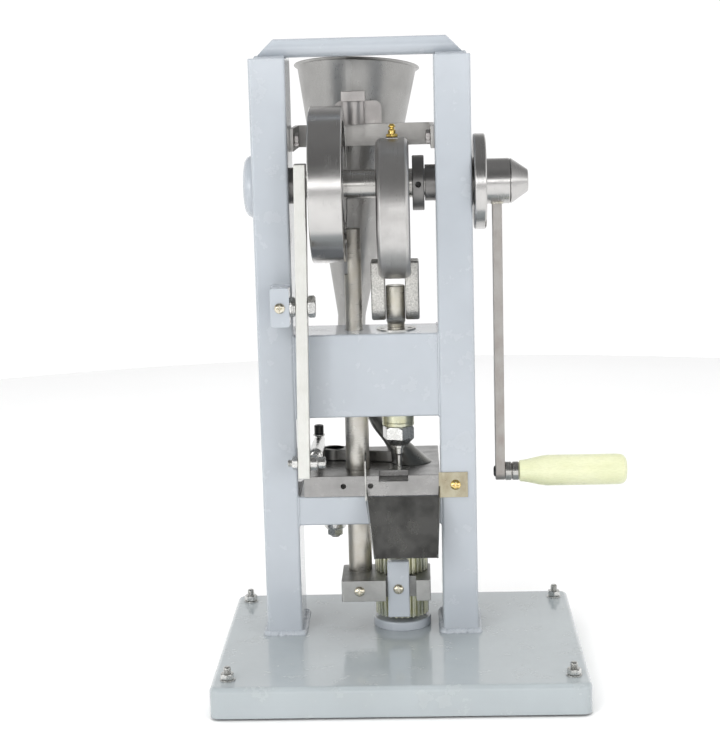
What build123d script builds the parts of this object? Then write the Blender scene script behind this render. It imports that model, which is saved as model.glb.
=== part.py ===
from build123d import *
import os
from math import atan2, cos, degrees, hypot, pi, radians, sin

# Hand-cranked single-punch tablet press.
# Origin: centre of the base, on the surface the feet stand on.
# +X points to the crank side, +Y to the rear (hopper side), +Z up. Millimetres.

# ---- base ----
base_width = 300.0
base_depth = 250.0
base_top = 26.5
pan_clearance = 2.0
pan_wall = 3.0
pan_corner = 8.0
pan_edge = 4.0
foot_inset_x = 13.0
foot_inset_y = 21.0
foot_radius = 9.5
stud_radius = 3.0
stud_root = 10.0
stud_rise = 11.5
washer_radius = 6.2
washer_thickness = 1.2
m6_nut_af = 10.0
m6_nut_height = 5.0

# ---- frame ----
frame_x = -24.0
column_gap = 120.0
column_width = 30.0
column_depth = 60.0
column_wall = 3.0
column_corner = 2.5
column_front = 7.0
column_top = 511.5
handle_radius = 8.0
handle_inset = 4.0
handle_flat = 0.7
member_setback = 1.0
middle_bottom = 214.3
middle_height = 70.0
middle_wall = 4.0
lower_bottom = 122.0
lower_wall = 3.0
boss_radius = 24.8
boss_height = 7.5

# ---- press axis and shaft ----
press_x = 1.0
shaft_z = 406.5
shaft_radius = 12.0
shaft_overhang = 38.0
bush_radius = 15.0
bush_inboard = 8.5
bush_flange_radius = 20.0
bush_flange = 1.3
cap_radius = 25.8
cap_thickness = 7.5
running_fit = 0.06
seat_fit = 0.05
body_gap = 0.3

# ---- cam wheel, eccentric and strap ----
wheel_radius = 65.0
wheel_left = -66.8
wheel_width = 27.6
groove_depth = 7.0
roller_radius = 6.0
roller_clearance = 0.6
throw = 21.0
sheave_radius = 44.0
sheave_width = 21.0
strap_radius = 58.5
strap_width = 27.0
strap_chamfer = 3.0
lug_inner = 8.3
lug_thickness = 11.8
lug_radius = 12.0
lug_top_z = 344.0
wrist_z = 304.0
wrist_radius = 5.0
nipple_height = 11.0
nipple_af = 9.5

# ---- collar, flange and crank ----
collar_radius = 22.8
collar_width = 9.8
collar_gap = 0.6
set_screw_radius = 2.6
flange_radius = 39.6
flange_width = 10.0
hub_radius = 18.8
hub_width = 19.9
nose_length = 15.0
nose_tip_radius = 9.3
arm_thickness = 8.0
arm_width = 15.0
arm_offset = 5.2
crank_radius = 247.0
pin_radius = 4.0
pin_collar_radius = 8.0
pin_collar_width = 5.6
grip_length = 91.4
grip_radius = 13.2
grip_neck_radius = 9.2
grip_bore_depth = 78.0

# ---- plunger and upper punch ----
guide_radius = 16.5
guide_lip = 1.0
rod_radius = 7.0
thread_radius = 7.5
thread_bottom = 286.0
head_bottom = 290.0
head_radius = 8.0
head_top = 321.5
sleeve_radius = 13.5
sleeve_bottom = 201.3
sleeve_top = 218.0
nut_af = 24.0
nut_bottom = 184.8
nut_clearance = 0.4
punch_seat = 190.0
stem_radius = 3.45
stem_bottom = 176.3
tip_radius = 2.45
upper_tip_z = 159.5

# ---- die table ----
table_left_gap = 4.6
table_depth = 115.0
table_top = 164.4
table_thickness = 17.6
table_side_gap = 0.7
die_radius = 9.0
die_bore = 2.5
notch_left = -15.8
notch_right = 8.6
notch_depth = 5.0
notch_length = 20.0
front_hole_radius = 2.15
front_hole_depth = 12.0
front_hole_x = (-45.9, -23.1)
table_bolt_x = (-70.0, 25.0)
table_bolt_y = 50.0

# ---- lift gear ----
lift_x = -34.3
lift_radius = 10.0
lift_upper_radius = 7.25
lift_step_z = 255.0
lift_top = 370.0
lift_flat_gap = 2.1
lift_clearance = 0.4
lift_bush_radius = 13.0
lift_bush_height = 36.0
lift_travel = 8.4
lift_roller_z = 360.0
roller_stud_radius = 3.0
fork_bottom = 57.0
fork_height = 18.0
fork_left = -49.5
fork_right = 25.8
fork_front = 0.0
fork_back = 51.0
slot_left = -12.1
slot_right = 13.6
slot_depth = 13.4
plate_left = -10.7
plate_width = 18.5
plate_bottom = 41.0
plate_height = 49.0
plate_thickness = 8.0
gear_radius = 22.8
gear_teeth = 28
tooth_depth = 2.2
gear_height = 16.0
fill_gear_height = 19.6
holder_radius = 9.0
holder_bottom = 28.0
holder_shoulder = 98.0
holder_neck_radius = 5.0
holder_top = 136.0
lower_tip_z = 156.0

# ---- feeder lever and link ----
lever_y = -10.0
lever_bottom_x = -77.1
lever_top_x = -73.1
lever_bottom = 168.0
lever_top = 427.0
lever_width = 9.7
lever_depth = 14.0
pivot_z = 311.0
pivot_radius = 5.0
pivot_head_af = 16.0
pivot_head = 6.0
pivot_nut_af = 17.0
lever_roller_z = 417.0
bracket_left = -100.5
bracket_width = 15.8
bracket_depth = 24.0
bracket_height = 32.0
link_z = 180.5
link_x = -68.9
link_bolt_radius = 3.0
link_head_radius = 4.75
eye_radius = 6.5
eye_width = 6.4
link_neck_radius = 2.8
link_radius = 5.8
link_neck_end = 18.0
link_rear_overhang = 7.0

# ---- feed shoe ----
shoe_pivot_y = 76.0
post_arm = 12.0
shoe_swing = 21.0
shoe_gap = 0.3
outlet_radius = 17.8
shoe_wall = 1.5
arm_height = 9.6
shoe_arm_half = 8.0
shoe_boss_radius = 10.0
post_boss_radius = 6.6
post_radius = 2.5
post_hole_clearance = 0.45
post_head_radius = 4.1
post_head = 8.0
pivot_bolt_radius = 4.0
pivot_bolt_head = 6.9
mouth_radius = 25.0
mouth_collar = 9.0
mouth_z = 243.0
spring_outer = 6.5
spring_inner = 4.4
cup_radius = 9.6
cup_bottom = 102.0
cup_height = 8.0

# ---- hopper ----
hopper_rim_radius = 53.5
hopper_lip = 3.4
hopper_wall = 1.2
spout_radius = 12.4
spout_z = 240.0
cone_start_z = 284.0
rim_z = 503.0
hopper_rim_x = -31.0
hopper_rim_y = 168.3
hopper_spout_x = -41.5
hopper_spout_y = 126.7
bar_front = 112.8
bar_thickness = 3.0
bar_bottom = 434.5
bar_height = 19.0
tab_front = 40.0
tab_bolt_y = 52.0
lug_x = -32.5
lug_y = 103.0
lug_pin_radius = 9.3

# ---- chute ----
chute_top_left = -27.6
chute_bottom_left = -20.8
chute_top_right = 35.4
chute_bottom_right = 32.6
chute_bottom_y = -23.0
chute_bottom_z = 101.0
chute_sheet = 1.2
chute_flange = 9.0
guard_height = 19.0
guard_back = 26.5
ear_left = 38.0
ear_width = 20.5
ear_height = 21.5
ear_top = 166.5
screw_head_radius = 3.6
screw_radius = 2.0

# ---- derived places ----
press_y = column_front + column_depth / 2
column_back = column_front + column_depth
inner_left = frame_x - column_gap / 2
inner_right = frame_x + column_gap / 2
outer_left = inner_left - column_width
outer_right = inner_right + column_width
shaft_end_x = outer_right + shaft_overhang
middle_top = middle_bottom + middle_height
member_front = column_front + member_setback
member_back = column_back - member_setback
table_bottom = table_top - table_thickness
table_left = inner_left + table_left_gap
table_right = inner_right - table_side_gap
table_back = column_front + table_depth
wheel_right = wheel_left + wheel_width
sheave_z = shaft_z - throw
stroke = 2 * throw
crank_z = shaft_z - crank_radius
right_bush_start = inner_right - bush_inboard
collar_right = right_bush_start - collar_gap
collar_left = collar_right - collar_width
flange_left = outer_right + bush_flange + 0.5
hub_left = flange_left + flange_width
hub_right = hub_left + hub_width
arm_left = hub_left + arm_offset
arm_right = arm_left + arm_thickness
grip_left = arm_right + 0.3 + 2 * pin_collar_width + 0.6
fork_top = fork_bottom + fork_height
shoe_pivot_x = link_x + post_arm * cos(radians(shoe_swing / 2))
post_y = shoe_pivot_y - post_arm * sin(radians(shoe_swing / 2))
shoe_bottom = table_top + shoe_gap
shoe_arm_top = shoe_bottom + arm_height
die_reach = hypot(press_x - shoe_pivot_x, press_y - shoe_pivot_y)
die_angle = degrees(atan2(press_y - shoe_pivot_y, press_x - shoe_pivot_x))
outlet_angle = radians(die_angle + shoe_swing)
outlet_x = shoe_pivot_x + die_reach * cos(outlet_angle)
outlet_y = shoe_pivot_y + die_reach * sin(outlet_angle)
cone_slope = (hopper_rim_radius - spout_radius) / (rim_z - cone_start_z)

LOW = (Align.CENTER, Align.CENTER, Align.MIN)


def block(x0, x1, y0, y1, z0, z1):
    """Box between two corners."""
    return Pos(x0, y0, z0) * Box(x1 - x0, y1 - y0, z1 - z0, align=(Align.MIN,) * 3)


def rod_z(radius, x, y, z0, z1):
    """Upright cylinder."""
    return Pos(x, y, z0) * Cylinder(radius, z1 - z0, align=LOW)


def rod_x(radius, x0, x1, y, z):
    """Cylinder along X."""
    return Location((x0, y, z), (0, 90, 0)) * Cylinder(radius, x1 - x0, align=LOW)


def rod_y(radius, x, y0, y1, z):
    """Cylinder along Y."""
    return Location((x, y0, z), (-90, 0, 0)) * Cylinder(radius, y1 - y0, align=LOW)


def hexagon(across_flats):
    """Regular hexagon by its width across flats."""
    return RegularPolygon(across_flats / 2, 6, major_radius=False)


def hex_z(across_flats, x, y, z0, z1):
    """Upright hexagonal prism."""
    return Pos(x, y, z0) * extrude(hexagon(across_flats), z1 - z0)


def hex_x(across_flats, x0, x1, y, z):
    """Hexagonal prism along X."""
    return Location((x0, y, z), (0, 90, 0)) * extrude(hexagon(across_flats), x1 - x0)


def turned_x(points, y, z):
    """Solid of revolution about an X-parallel axis from (x, radius) points."""
    path = [(x, 0, r) for x, r in points]
    face = make_face(Polyline(*path, close=True))
    return Pos(0, y, z) * revolve(face, Axis.X)


def turned_z(points, x, y):
    """Solid of revolution about an upright axis from (radius, z) points."""
    path = [(r, 0, z) for r, z in points]
    face = make_face(Polyline(*path, close=True))
    return Pos(x, y, 0) * revolve(face, Axis.Z)


def hollow_tube(x0, x1, y0, y1, z0, z1, wall):
    """Rectangular tube along X, open at both ends."""
    outer = block(x0, x1, y0, y1, z0, z1)
    outer = fillet(outer.edges().filter_by(Axis.X), wall / 2)
    return outer - block(x0 - 1, x1 + 1, y0 + wall, y1 - wall, z0 + wall, z1 - wall)


def column(left):
    """Upright rectangular tube, closed at the top, bored for the shaft bush."""
    outer = block(left, left + column_width, column_front, column_back, base_top, column_top)
    outer = fillet(outer.edges().filter_by(Axis.Z), column_corner)
    outer = fillet(outer.faces().sort_by(Axis.Z)[-1].edges(), 1.0)
    inner = block(left + column_wall, left + column_width - column_wall,
                  column_front + column_wall, column_back - column_wall,
                  base_top - 1, column_top - column_wall)
    bore = rod_x(bush_radius + seat_fit, left - 1, left + column_width + 1, press_y, shaft_z)
    return outer - inner - bore


# ================= base =================
foot_places = [(sx * (base_width / 2 - foot_inset_x), sy * (base_depth / 2 - foot_inset_y))
               for sx in (-1, 1) for sy in (-1, 1)]
pan_inside = base_top - pan_wall


def make_base_pan():
    half_x, half_y = base_width / 2, base_depth / 2
    pan = block(-half_x, half_x, -half_y, half_y, pan_clearance, base_top)
    pan = fillet(pan.edges().filter_by(Axis.Z), pan_corner)
    pan = fillet(pan.faces().sort_by(Axis.Z)[-1].edges(), pan_edge)
    inner = block(pan_wall - half_x, half_x - pan_wall, pan_wall - half_y, half_y - pan_wall,
                  pan_clearance - 1, pan_inside)
    inner = fillet(inner.edges().filter_by(Axis.Z), pan_corner - pan_wall)
    pan -= inner
    for x, y in foot_places:
        pan -= rod_z(stud_radius + 0.3, x, y, 0, base_top + 1)
    return pan


def make_rubber_feet():
    feet = []
    for x, y in foot_places:
        foot = rod_z(foot_radius, x, y, 0, pan_inside)
        foot = fillet(foot.edges().sort_by(Axis.Z)[0], 1.0)
        feet.append(foot - rod_z(stud_radius + seat_fit, x, y, stud_root, pan_inside + 1))
    return feet


def make_foot_hardware():
    pieces = []
    washer_top = base_top + washer_thickness
    stud_top = base_top + stud_rise
    for x, y in foot_places:
        stud = rod_z(stud_radius, x, y, stud_root, stud_top)
        stud = chamfer(stud.edges().sort_by(Axis.Z)[-1], 0.6)
        hole = rod_z(stud_radius + seat_fit, x, y, 0, stud_top + 1)
        washer = rod_z(washer_radius, x, y, base_top, washer_top) - hole
        nut = hex_z(m6_nut_af, x, y, washer_top, washer_top + m6_nut_height) - hole
        pieces += [stud, washer, nut]
    return pieces


def make_base_boss():
    boss = rod_z(boss_radius, press_x, press_y, base_top, base_top + boss_height)
    boss = fillet(boss.edges().sort_by(Axis.Z)[-1], 1.5)
    return boss - rod_z(holder_radius + lift_clearance, press_x, press_y, 0, base_top + boss_height + 1)


# ================= frame =================
def make_top_handle():
    """Round bar across both columns, its ends mitred at 45 degrees."""
    axis_z = column_top + handle_radius - handle_flat
    top = axis_z + handle_radius
    low_left, low_right = outer_left + handle_inset, outer_right - handle_inset
    rise = top - column_top
    outline = Polyline((low_left, 0, column_top), (low_right, 0, column_top),
                       (low_right - rise, 0, top), (low_left + rise, 0, top), close=True)
    wedge = extrude(make_face(outline), amount=2 * handle_radius, both=True, dir=(0, 1, 0))
    return rod_x(handle_radius, low_left, low_right, press_y, axis_z) & (Pos(0, press_y, 0) * wedge)


def make_middle_crossmember():
    tube = hollow_tube(inner_left, inner_right, member_front, member_back,
                       middle_bottom, middle_top, middle_wall)
    tube -= rod_z(guide_radius + seat_fit, press_x, press_y, middle_bottom - 1, middle_top + 1)
    tube -= rod_z(lift_bush_radius + seat_fit, lift_x, press_y,
                  middle_bottom - 1, middle_bottom + middle_wall + 1)
    tube -= rod_z(lift_upper_radius + lift_clearance, lift_x, press_y,
                  middle_top - middle_wall - 1, middle_top + 1)
    return tube


def make_lower_crossmember():
    tube = hollow_tube(inner_left, inner_right, member_front, member_back,
                       lower_bottom, table_bottom, lower_wall)
    tube -= rod_z(lift_radius + lift_clearance, lift_x, press_y, lower_bottom - 1, table_bottom + 1)
    tube -= rod_z(holder_neck_radius + 1.5, press_x, press_y, lower_bottom - 1, table_bottom + 1)
    for x in table_bolt_x:
        tube -= rod_z(stud_radius + seat_fit, x, table_bolt_y, lower_bottom - 1, table_bottom + 1)
    return tube


def make_guide_bush():
    """Bored wide below for the rising sleeve and close above for the rod."""
    bush = rod_z(guide_radius, press_x, press_y, middle_bottom, middle_top + guide_lip)
    wide_top = sleeve_top + stroke + 2.0
    nut_corner = nut_af / 2 / cos(radians(30))
    wide_radius = max(sleeve_radius + running_fit, nut_corner + nut_clearance)
    bush -= rod_z(wide_radius, press_x, press_y, middle_bottom - 1, wide_top)
    bush -= rod_z(rod_radius + running_fit, press_x, press_y, wide_top - 1, middle_top + guide_lip + 1)
    return bush


def make_lift_rod_bush():
    bush = rod_z(lift_bush_radius, lift_x, press_y, middle_bottom, middle_bottom + lift_bush_height)
    return bush - rod_z(lift_radius + running_fit, lift_x, press_y,
                        middle_bottom - 1, middle_bottom + lift_bush_height + 1)


def make_frame_bolts():
    """Hexagon bolts: two hold the table down, two hold the hopper bracket."""
    bolts = []
    for x in table_bolt_x:
        shank = rod_z(stud_radius, x, table_bolt_y, lower_bottom, table_top - 6)
        bolts.append(shank + hex_z(m6_nut_af, x, table_bolt_y, lower_bottom - 4, lower_bottom))
    bolt_z = bar_bottom + bar_height / 2
    head = 4.0
    reach = bar_thickness + column_wall + 2
    shank = rod_x(stud_radius, inner_left - reach + bar_thickness, inner_left + bar_thickness,
                  tab_bolt_y, bolt_z)
    bolts.append(shank + hex_x(m6_nut_af, inner_left + bar_thickness,
                               inner_left + bar_thickness + head, tab_bolt_y, bolt_z))
    shank = rod_x(stud_radius, inner_right - bar_thickness, inner_right + reach - bar_thickness,
                  tab_bolt_y, bolt_z)
    bolts.append(shank + hex_x(m6_nut_af, inner_right - bar_thickness - head,
                               inner_right - bar_thickness, tab_bolt_y, bolt_z))
    return bolts


def bracket_bolt_holes():
    bolt_z = bar_bottom + bar_height / 2
    return rod_x(stud_radius + seat_fit, inner_left - 8, inner_right + 8, tab_bolt_y, bolt_z)


def make_shaft_bushes():
    bore = rod_x(shaft_radius + running_fit, outer_left - 1, outer_right + 9, press_y, shaft_z)
    left = rod_x(bush_radius, outer_left, inner_left + bush_inboard, press_y, shaft_z)
    right = rod_x(bush_radius, right_bush_start, outer_right + bush_flange, press_y, shaft_z)
    right += rod_x(bush_flange_radius, outer_right, outer_right + bush_flange, press_y, shaft_z)
    return [left - bore, right - bore]


def make_left_bearing_cap():
    cap = rod_x(cap_radius, outer_left - cap_thickness, outer_left, press_y, shaft_z)
    return fillet(cap.edges().sort_by(Axis.X)[0], cap_thickness - 2.0)


def make_lever_bracket():
    right = bracket_left + bracket_width
    low = pivot_z - bracket_height / 2
    lump = block(bracket_left, right, column_front - bracket_depth, column_front,
                 low, low + bracket_height)
    lump = fillet(lump.edges().filter_by(Axis.Y), 2.0)
    lump -= rod_x(pivot_radius + seat_fit, bracket_left - 1, right + 1, lever_y, pivot_z)
    front = column_front - bracket_depth
    return lump - rod_y(screw_radius + seat_fit, bracket_left + bracket_width / 2,
                        front - 1, lever_y, pivot_z)


def make_lever_pivot_bolt():
    """Bolt fixed in the bracket; the lever swings on its shank."""
    head_left = lever_face_x(pivot_z, 1) + body_gap
    nut_right = lever_face_x(pivot_z, -1) - body_gap
    shank = rod_x(pivot_radius, bracket_left + 1.5, head_left, lever_y, pivot_z)
    head = hex_x(pivot_head_af, head_left, head_left + pivot_head, lever_y, pivot_z)
    nut = hex_x(pivot_nut_af, bracket_left + bracket_width, nut_right, lever_y, pivot_z)
    hole = rod_x(pivot_radius + seat_fit, bracket_left, nut_right + 1, lever_y, pivot_z)
    return [shank + head, nut - hole]


# ================= die table =================
def make_die_table():
    table = block(table_left, table_right, column_front, table_back, table_bottom, table_top)
    table = chamfer(table.edges().filter_by(Axis.Z), 0.8)
    table -= block(notch_left, notch_right, column_front - 1, column_front + notch_length,
                   table_top - notch_depth, table_top + 1)
    for x in front_hole_x:
        table -= rod_y(front_hole_radius, x, column_front - 1, column_front + front_hole_depth,
                       table_top - table_thickness / 2)
    table -= rod_z(lift_radius + lift_clearance, lift_x, press_y, table_bottom - 1, table_top + 1)
    table -= rod_z(die_radius + seat_fit, press_x, press_y, table_bottom - 1, table_top + 1)
    table -= rod_z(pivot_bolt_radius + running_fit, shoe_pivot_x, shoe_pivot_y,
                   table_bottom - 1, table_top + 1)
    for x in table_bolt_x:
        table -= rod_z(stud_radius + seat_fit, x, table_bolt_y, table_bottom - 1, table_top - 5.7)
    return table


def make_die():
    die = rod_z(die_radius, press_x, press_y, table_bottom, table_top)
    return die - rod_z(die_bore, press_x, press_y, table_bottom - 1, table_top + 1)


def sheet_between(a, b, c, d, thickness):
    """Flat four-cornered sheet, thickened to both sides."""
    face = make_face(Polyline(a, b, c, d, close=True))
    return extrude(face, amount=thickness / 2, both=True)


def make_chute():
    """Folded sheet: sloping floor, two side flanges, a guard above the table and a screwed ear."""
    top_y, top_z = column_front - chute_sheet / 2 - 0.1, table_bottom - 0.5
    floor = sheet_between((chute_top_left, top_y, top_z), (chute_top_right, top_y, top_z),
                          (chute_bottom_right, chute_bottom_y, chute_bottom_z),
                          (chute_bottom_left, chute_bottom_y, chute_bottom_z), chute_sheet)
    flanges = []
    for top_x, low_x, side in ((chute_top_left, chute_bottom_left, 1),
                               (chute_top_right, chute_bottom_right, -1)):
        drift = (low_x - top_x) / (chute_bottom_y - top_y)
        outline = [(top_y, top_z - 2), (top_y, top_z + chute_flange), (top_y - chute_flange, top_z),
                   (chute_bottom_y - 1, chute_bottom_z + 3), (chute_bottom_y, chute_bottom_z - 0.4)]
        points = [(top_x + drift * (y - top_y), y, z) for y, z in outline]
        face = make_face(Polyline(*points, close=True))
        flanges.append(extrude(face, amount=chute_sheet, dir=(side, 0, 0)))
    guard_top = table_top + guard_height
    guard = block(chute_top_left, chute_top_left + chute_sheet, top_y - chute_flange / 2,
                  guard_back, shoe_bottom, guard_top)
    guard = fillet(guard.edges().filter_by(Axis.X).group_by(Axis.Z)[-1], 7.0)
    apron = block(chute_top_left, chute_top_left + chute_sheet, top_y - chute_flange / 2,
                  column_front - 0.1, top_z - 2, shoe_bottom + 1)
    side = block(chute_top_right - chute_sheet, chute_top_right, top_y - chute_sheet / 2,
                 column_front - 0.1, top_z - 2, ear_top)
    ear = block(chute_top_right - chute_sheet, ear_left + ear_width, column_front - chute_sheet,
                column_front, ear_top - ear_height, ear_top)
    ear -= rod_y(screw_radius + seat_fit, ear_left + ear_width / 2, 0, column_front + 1,
                 ear_top - ear_height / 2)
    return floor + flanges[0] + flanges[1] + guard + apron + side + ear


def phillips_screw(x, face_y, z, length):
    """Pan-head cross-recess screw, head to the front."""
    shank = rod_y(screw_radius, x, face_y, face_y + length, z)
    head = rod_y(screw_head_radius, x, face_y - 2.4, face_y, z)
    head = fillet(head.edges().sort_by(Axis.Y)[0], 1.4)
    recess = block(x - 2.2, x + 2.2, face_y - 3, face_y - 1.2, z - 0.45, z + 0.45)
    recess += block(x - 0.45, x + 0.45, face_y - 3, face_y - 1.2, z - 2.2, z + 2.2)
    return shank + head - recess


def make_phillips_screws():
    """One screw locks the lever pivot in its bracket, one holds the chute's ear."""
    bracket_screw = phillips_screw(bracket_left + bracket_width / 2, column_front - bracket_depth,
                                   pivot_z, 1.5)
    ear_screw = phillips_screw(ear_left + ear_width / 2, column_front - chute_sheet,
                               ear_top - ear_height / 2, chute_sheet + column_wall + 1)
    return [bracket_screw, ear_screw]


# ================= hopper =================
def hopper_plane():
    """Plane at the spout's mouth, its normal along the leaning hopper axis."""
    lean = Vector(hopper_rim_x - hopper_spout_x, hopper_rim_y - hopper_spout_y, rim_z - spout_z)
    return Plane(origin=(hopper_spout_x, hopper_spout_y, spout_z), x_dir=(1, 0, 0), z_dir=lean)


def hopper_length(z):
    """Distance along the hopper axis at a height."""
    whole = Vector(hopper_rim_x - hopper_spout_x, hopper_rim_y - hopper_spout_y, rim_z - spout_z).length
    return whole * (z - spout_z) / (rim_z - spout_z)


def hopper_body(inset):
    """Closed body of spout and cone, smaller by an inset."""
    start, end = hopper_length(cone_start_z), hopper_length(rim_z)
    low = -1.0 if inset else 0.0
    high = end + 1.0 if inset else end
    top_radius = hopper_rim_radius - inset + cone_slope * (high - end)
    return turned_z([(0, low), (spout_radius - inset, low), (spout_radius - inset, start),
                     (top_radius, high), (0, high)], 0, 0)


def make_hopper():
    end = hopper_length(rim_z)
    lip = rod_z(hopper_rim_radius + hopper_lip, 0, 0, end - 1.6, end)
    shell = hopper_body(0) + lip - hopper_body(hopper_wall)
    return hopper_plane().location * shell


def make_hopper_bracket():
    """Flat bar bent to a U: across behind the shaft, its ends along the columns' inner faces."""
    bar_back, bar_top = bar_front + bar_thickness, bar_bottom + bar_height
    bar = block(inner_left, inner_right, bar_front, bar_back, bar_bottom, bar_top)
    bar += block(inner_left, inner_left + bar_thickness, tab_front, bar_back, bar_bottom, bar_top)
    bar += block(inner_right - bar_thickness, inner_right, tab_front, bar_back, bar_bottom, bar_top)
    return bar - bracket_bolt_holes()


def make_hopper_clamp():
    """Saddle plate on the bar, a block above it and the turned clamp pin in front."""
    low, high = bar_bottom + bar_height, bar_bottom + bar_height + 20.0
    saddle = block(lug_x - 17, lug_x + 24, bar_front, bar_front + bar_thickness, low, high)
    saddle = fillet(saddle.edges().filter_by(Axis.Y).group_by(Axis.Z)[-1], 6.0)
    cap = block(lug_x - 10.2, lug_x + 10.2, lug_y - 10, bar_front + 8, high, high + 8.5)
    pin = rod_z(lug_pin_radius, lug_x, lug_y, low, high)
    return saddle + cap + pin - hopper_plane().location * hopper_body(0)


# ================= crank shaft =================
def on_shaft(points):
    """Turned ring or disc on the main shaft."""
    return turned_x(points, press_y, shaft_z)


def shaft_hole(x0, x1):
    return rod_x(shaft_radius + seat_fit, x0 - 1, x1 + 1, press_y, shaft_z)


def make_main_shaft():
    shaft = rod_x(shaft_radius, outer_left + 0.5, shaft_end_x, press_y, shaft_z)
    return chamfer(shaft.edges().filter_by(GeomType.CIRCLE), 0.8)


def groove_ring(inner, outer, x0, x1):
    ring = rod_x(outer, x0, x1, press_y, shaft_z)
    return ring - rod_x(inner, x0 - 1, x1 + 1, press_y, shaft_z)


def lever_roller_reach(swing_share):
    """Distance of the lever roller from the shaft at a share of the lever's swing."""
    swing = radians(lever_swing_deg()) * swing_share
    y = lever_y - (lever_roller_z - pivot_z) * sin(swing)
    return hypot(y - press_y, lever_roller_z - shaft_z)


def lever_swing_deg():
    """Lever swing that carries the link's post through the shoe's swing."""
    travel = 2 * post_arm * sin(radians(shoe_swing / 2))
    return degrees(travel / (pivot_z - link_z))


def make_cam_wheel():
    """Thick wheel with a roller groove in each face."""
    wheel = rod_x(wheel_radius, wheel_left, wheel_right, press_y, shaft_z)
    wheel = chamfer(wheel.edges().filter_by(GeomType.CIRCLE), 1.0)
    margin = roller_radius + roller_clearance
    left_reach = (lever_roller_reach(0), lever_roller_reach(1))
    wheel -= groove_ring(min(left_reach) - margin, max(left_reach) + margin,
                         wheel_left - 1, wheel_left + groove_depth)
    far = shaft_z - lift_roller_z
    wheel -= groove_ring(far - lift_travel - margin, far + margin,
                         wheel_right - groove_depth, wheel_right + 1)
    return wheel - shaft_hole(wheel_left, wheel_right)


def make_eccentric_sheave():
    left = press_x - sheave_width / 2
    disc = rod_x(sheave_radius, left, left + sheave_width, press_y, sheave_z)
    return disc - shaft_hole(left, left + sheave_width)


def make_shaft_collar():
    collar = rod_x(collar_radius, collar_left, collar_right, press_y, shaft_z)
    collar = chamfer(collar.edges().filter_by(GeomType.CIRCLE), 0.6)
    collar -= shaft_hole(collar_left, collar_right)
    middle = (collar_left + collar_right) / 2
    return collar - rod_y(set_screw_radius, middle, press_y - collar_radius - 1,
                          press_y - shaft_radius, shaft_z)


def make_flange_disc():
    disc = rod_x(flange_radius, flange_left, hub_left, press_y, shaft_z)
    disc = chamfer(disc.edges().filter_by(GeomType.CIRCLE), 1.0)
    return disc - shaft_hole(flange_left, hub_left)


def make_crank_hub():
    return rod_x(hub_radius, hub_left, hub_right, press_y, shaft_z) - shaft_hole(hub_left, hub_right)


def make_hub_nose():
    left, right = hub_right + 0.2, hub_right + 0.2 + nose_length
    nose = on_shaft([(left, 0), (left, hub_radius - 0.4), (left + 0.8, hub_radius),
                     (right - 0.6, nose_tip_radius), (right, nose_tip_radius - 0.8), (right, 0)])
    return nose - rod_x(shaft_radius + seat_fit, left - 1, shaft_end_x + 0.3, press_y, shaft_z)


def make_crank_arm():
    """Flat bar brazed under the hub, its lower end rounded about the pin."""
    arm = block(arm_left, arm_right, press_y - arm_width / 2, press_y + arm_width / 2,
                crank_z, shaft_z - shaft_radius - 2)
    arm += rod_x(arm_width / 2, arm_left, arm_right, press_y, crank_z)
    arm -= rod_x(hub_radius, arm_left - 1, arm_right + 1, press_y, shaft_z)
    return arm - rod_x(pin_radius + seat_fit, arm_left - 1, arm_right + 1, press_y, crank_z)


def make_crank_pin():
    """Riveted pin with two turned collars between arm and grip."""
    c = arm_right + 0.1
    w = pin_collar_width
    rim, core = pin_collar_radius, pin_collar_radius - 1.2
    end = grip_left + grip_bore_depth - 2
    return turned_x([(arm_left - 1.6, 0), (arm_left - 1.6, 3.4), (arm_left, 4.8), (arm_left, pin_radius),
                     (arm_right, pin_radius), (c, rim), (c + w, rim), (c + w, core),
                     (c + w + 0.5, core), (c + w + 0.5, rim), (c + 2 * w + 0.5, rim),
                     (c + 2 * w + 0.5, pin_radius), (end, pin_radius), (end, 0)], press_y, crank_z)


def make_crank_grip():
    """Bottle-shaped plastic grip, free to spin on the pin."""
    left = grip_left
    right = left + grip_length
    shoulder = left + 24
    with BuildPart() as grip:
        with BuildSketch(Plane.XZ) as profile:
            with BuildLine():
                Line((left, 0), (left, grip_neck_radius - 1))
                Line((left, grip_neck_radius - 1), (left + 1, grip_neck_radius))
                Spline((left + 1, grip_neck_radius), (left + 13, grip_radius - 1.6),
                       (shoulder, grip_radius), tangents=((1, 0.35), (1, 0)))
                Line((shoulder, grip_radius), (right - 4, grip_radius))
                TangentArc((right - 4, grip_radius), (right, grip_radius - 4), tangent=(1, 0))
                Line((right, grip_radius - 4), (right, 0))
                Line((right, 0), (left, 0))
            make_face()
        revolve(axis=Axis.X)
    bore = rod_x(pin_radius + running_fit, left - 1, left + grip_bore_depth, 0, 0)
    return Pos(0, press_y, crank_z) * (grip.part - bore)


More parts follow.
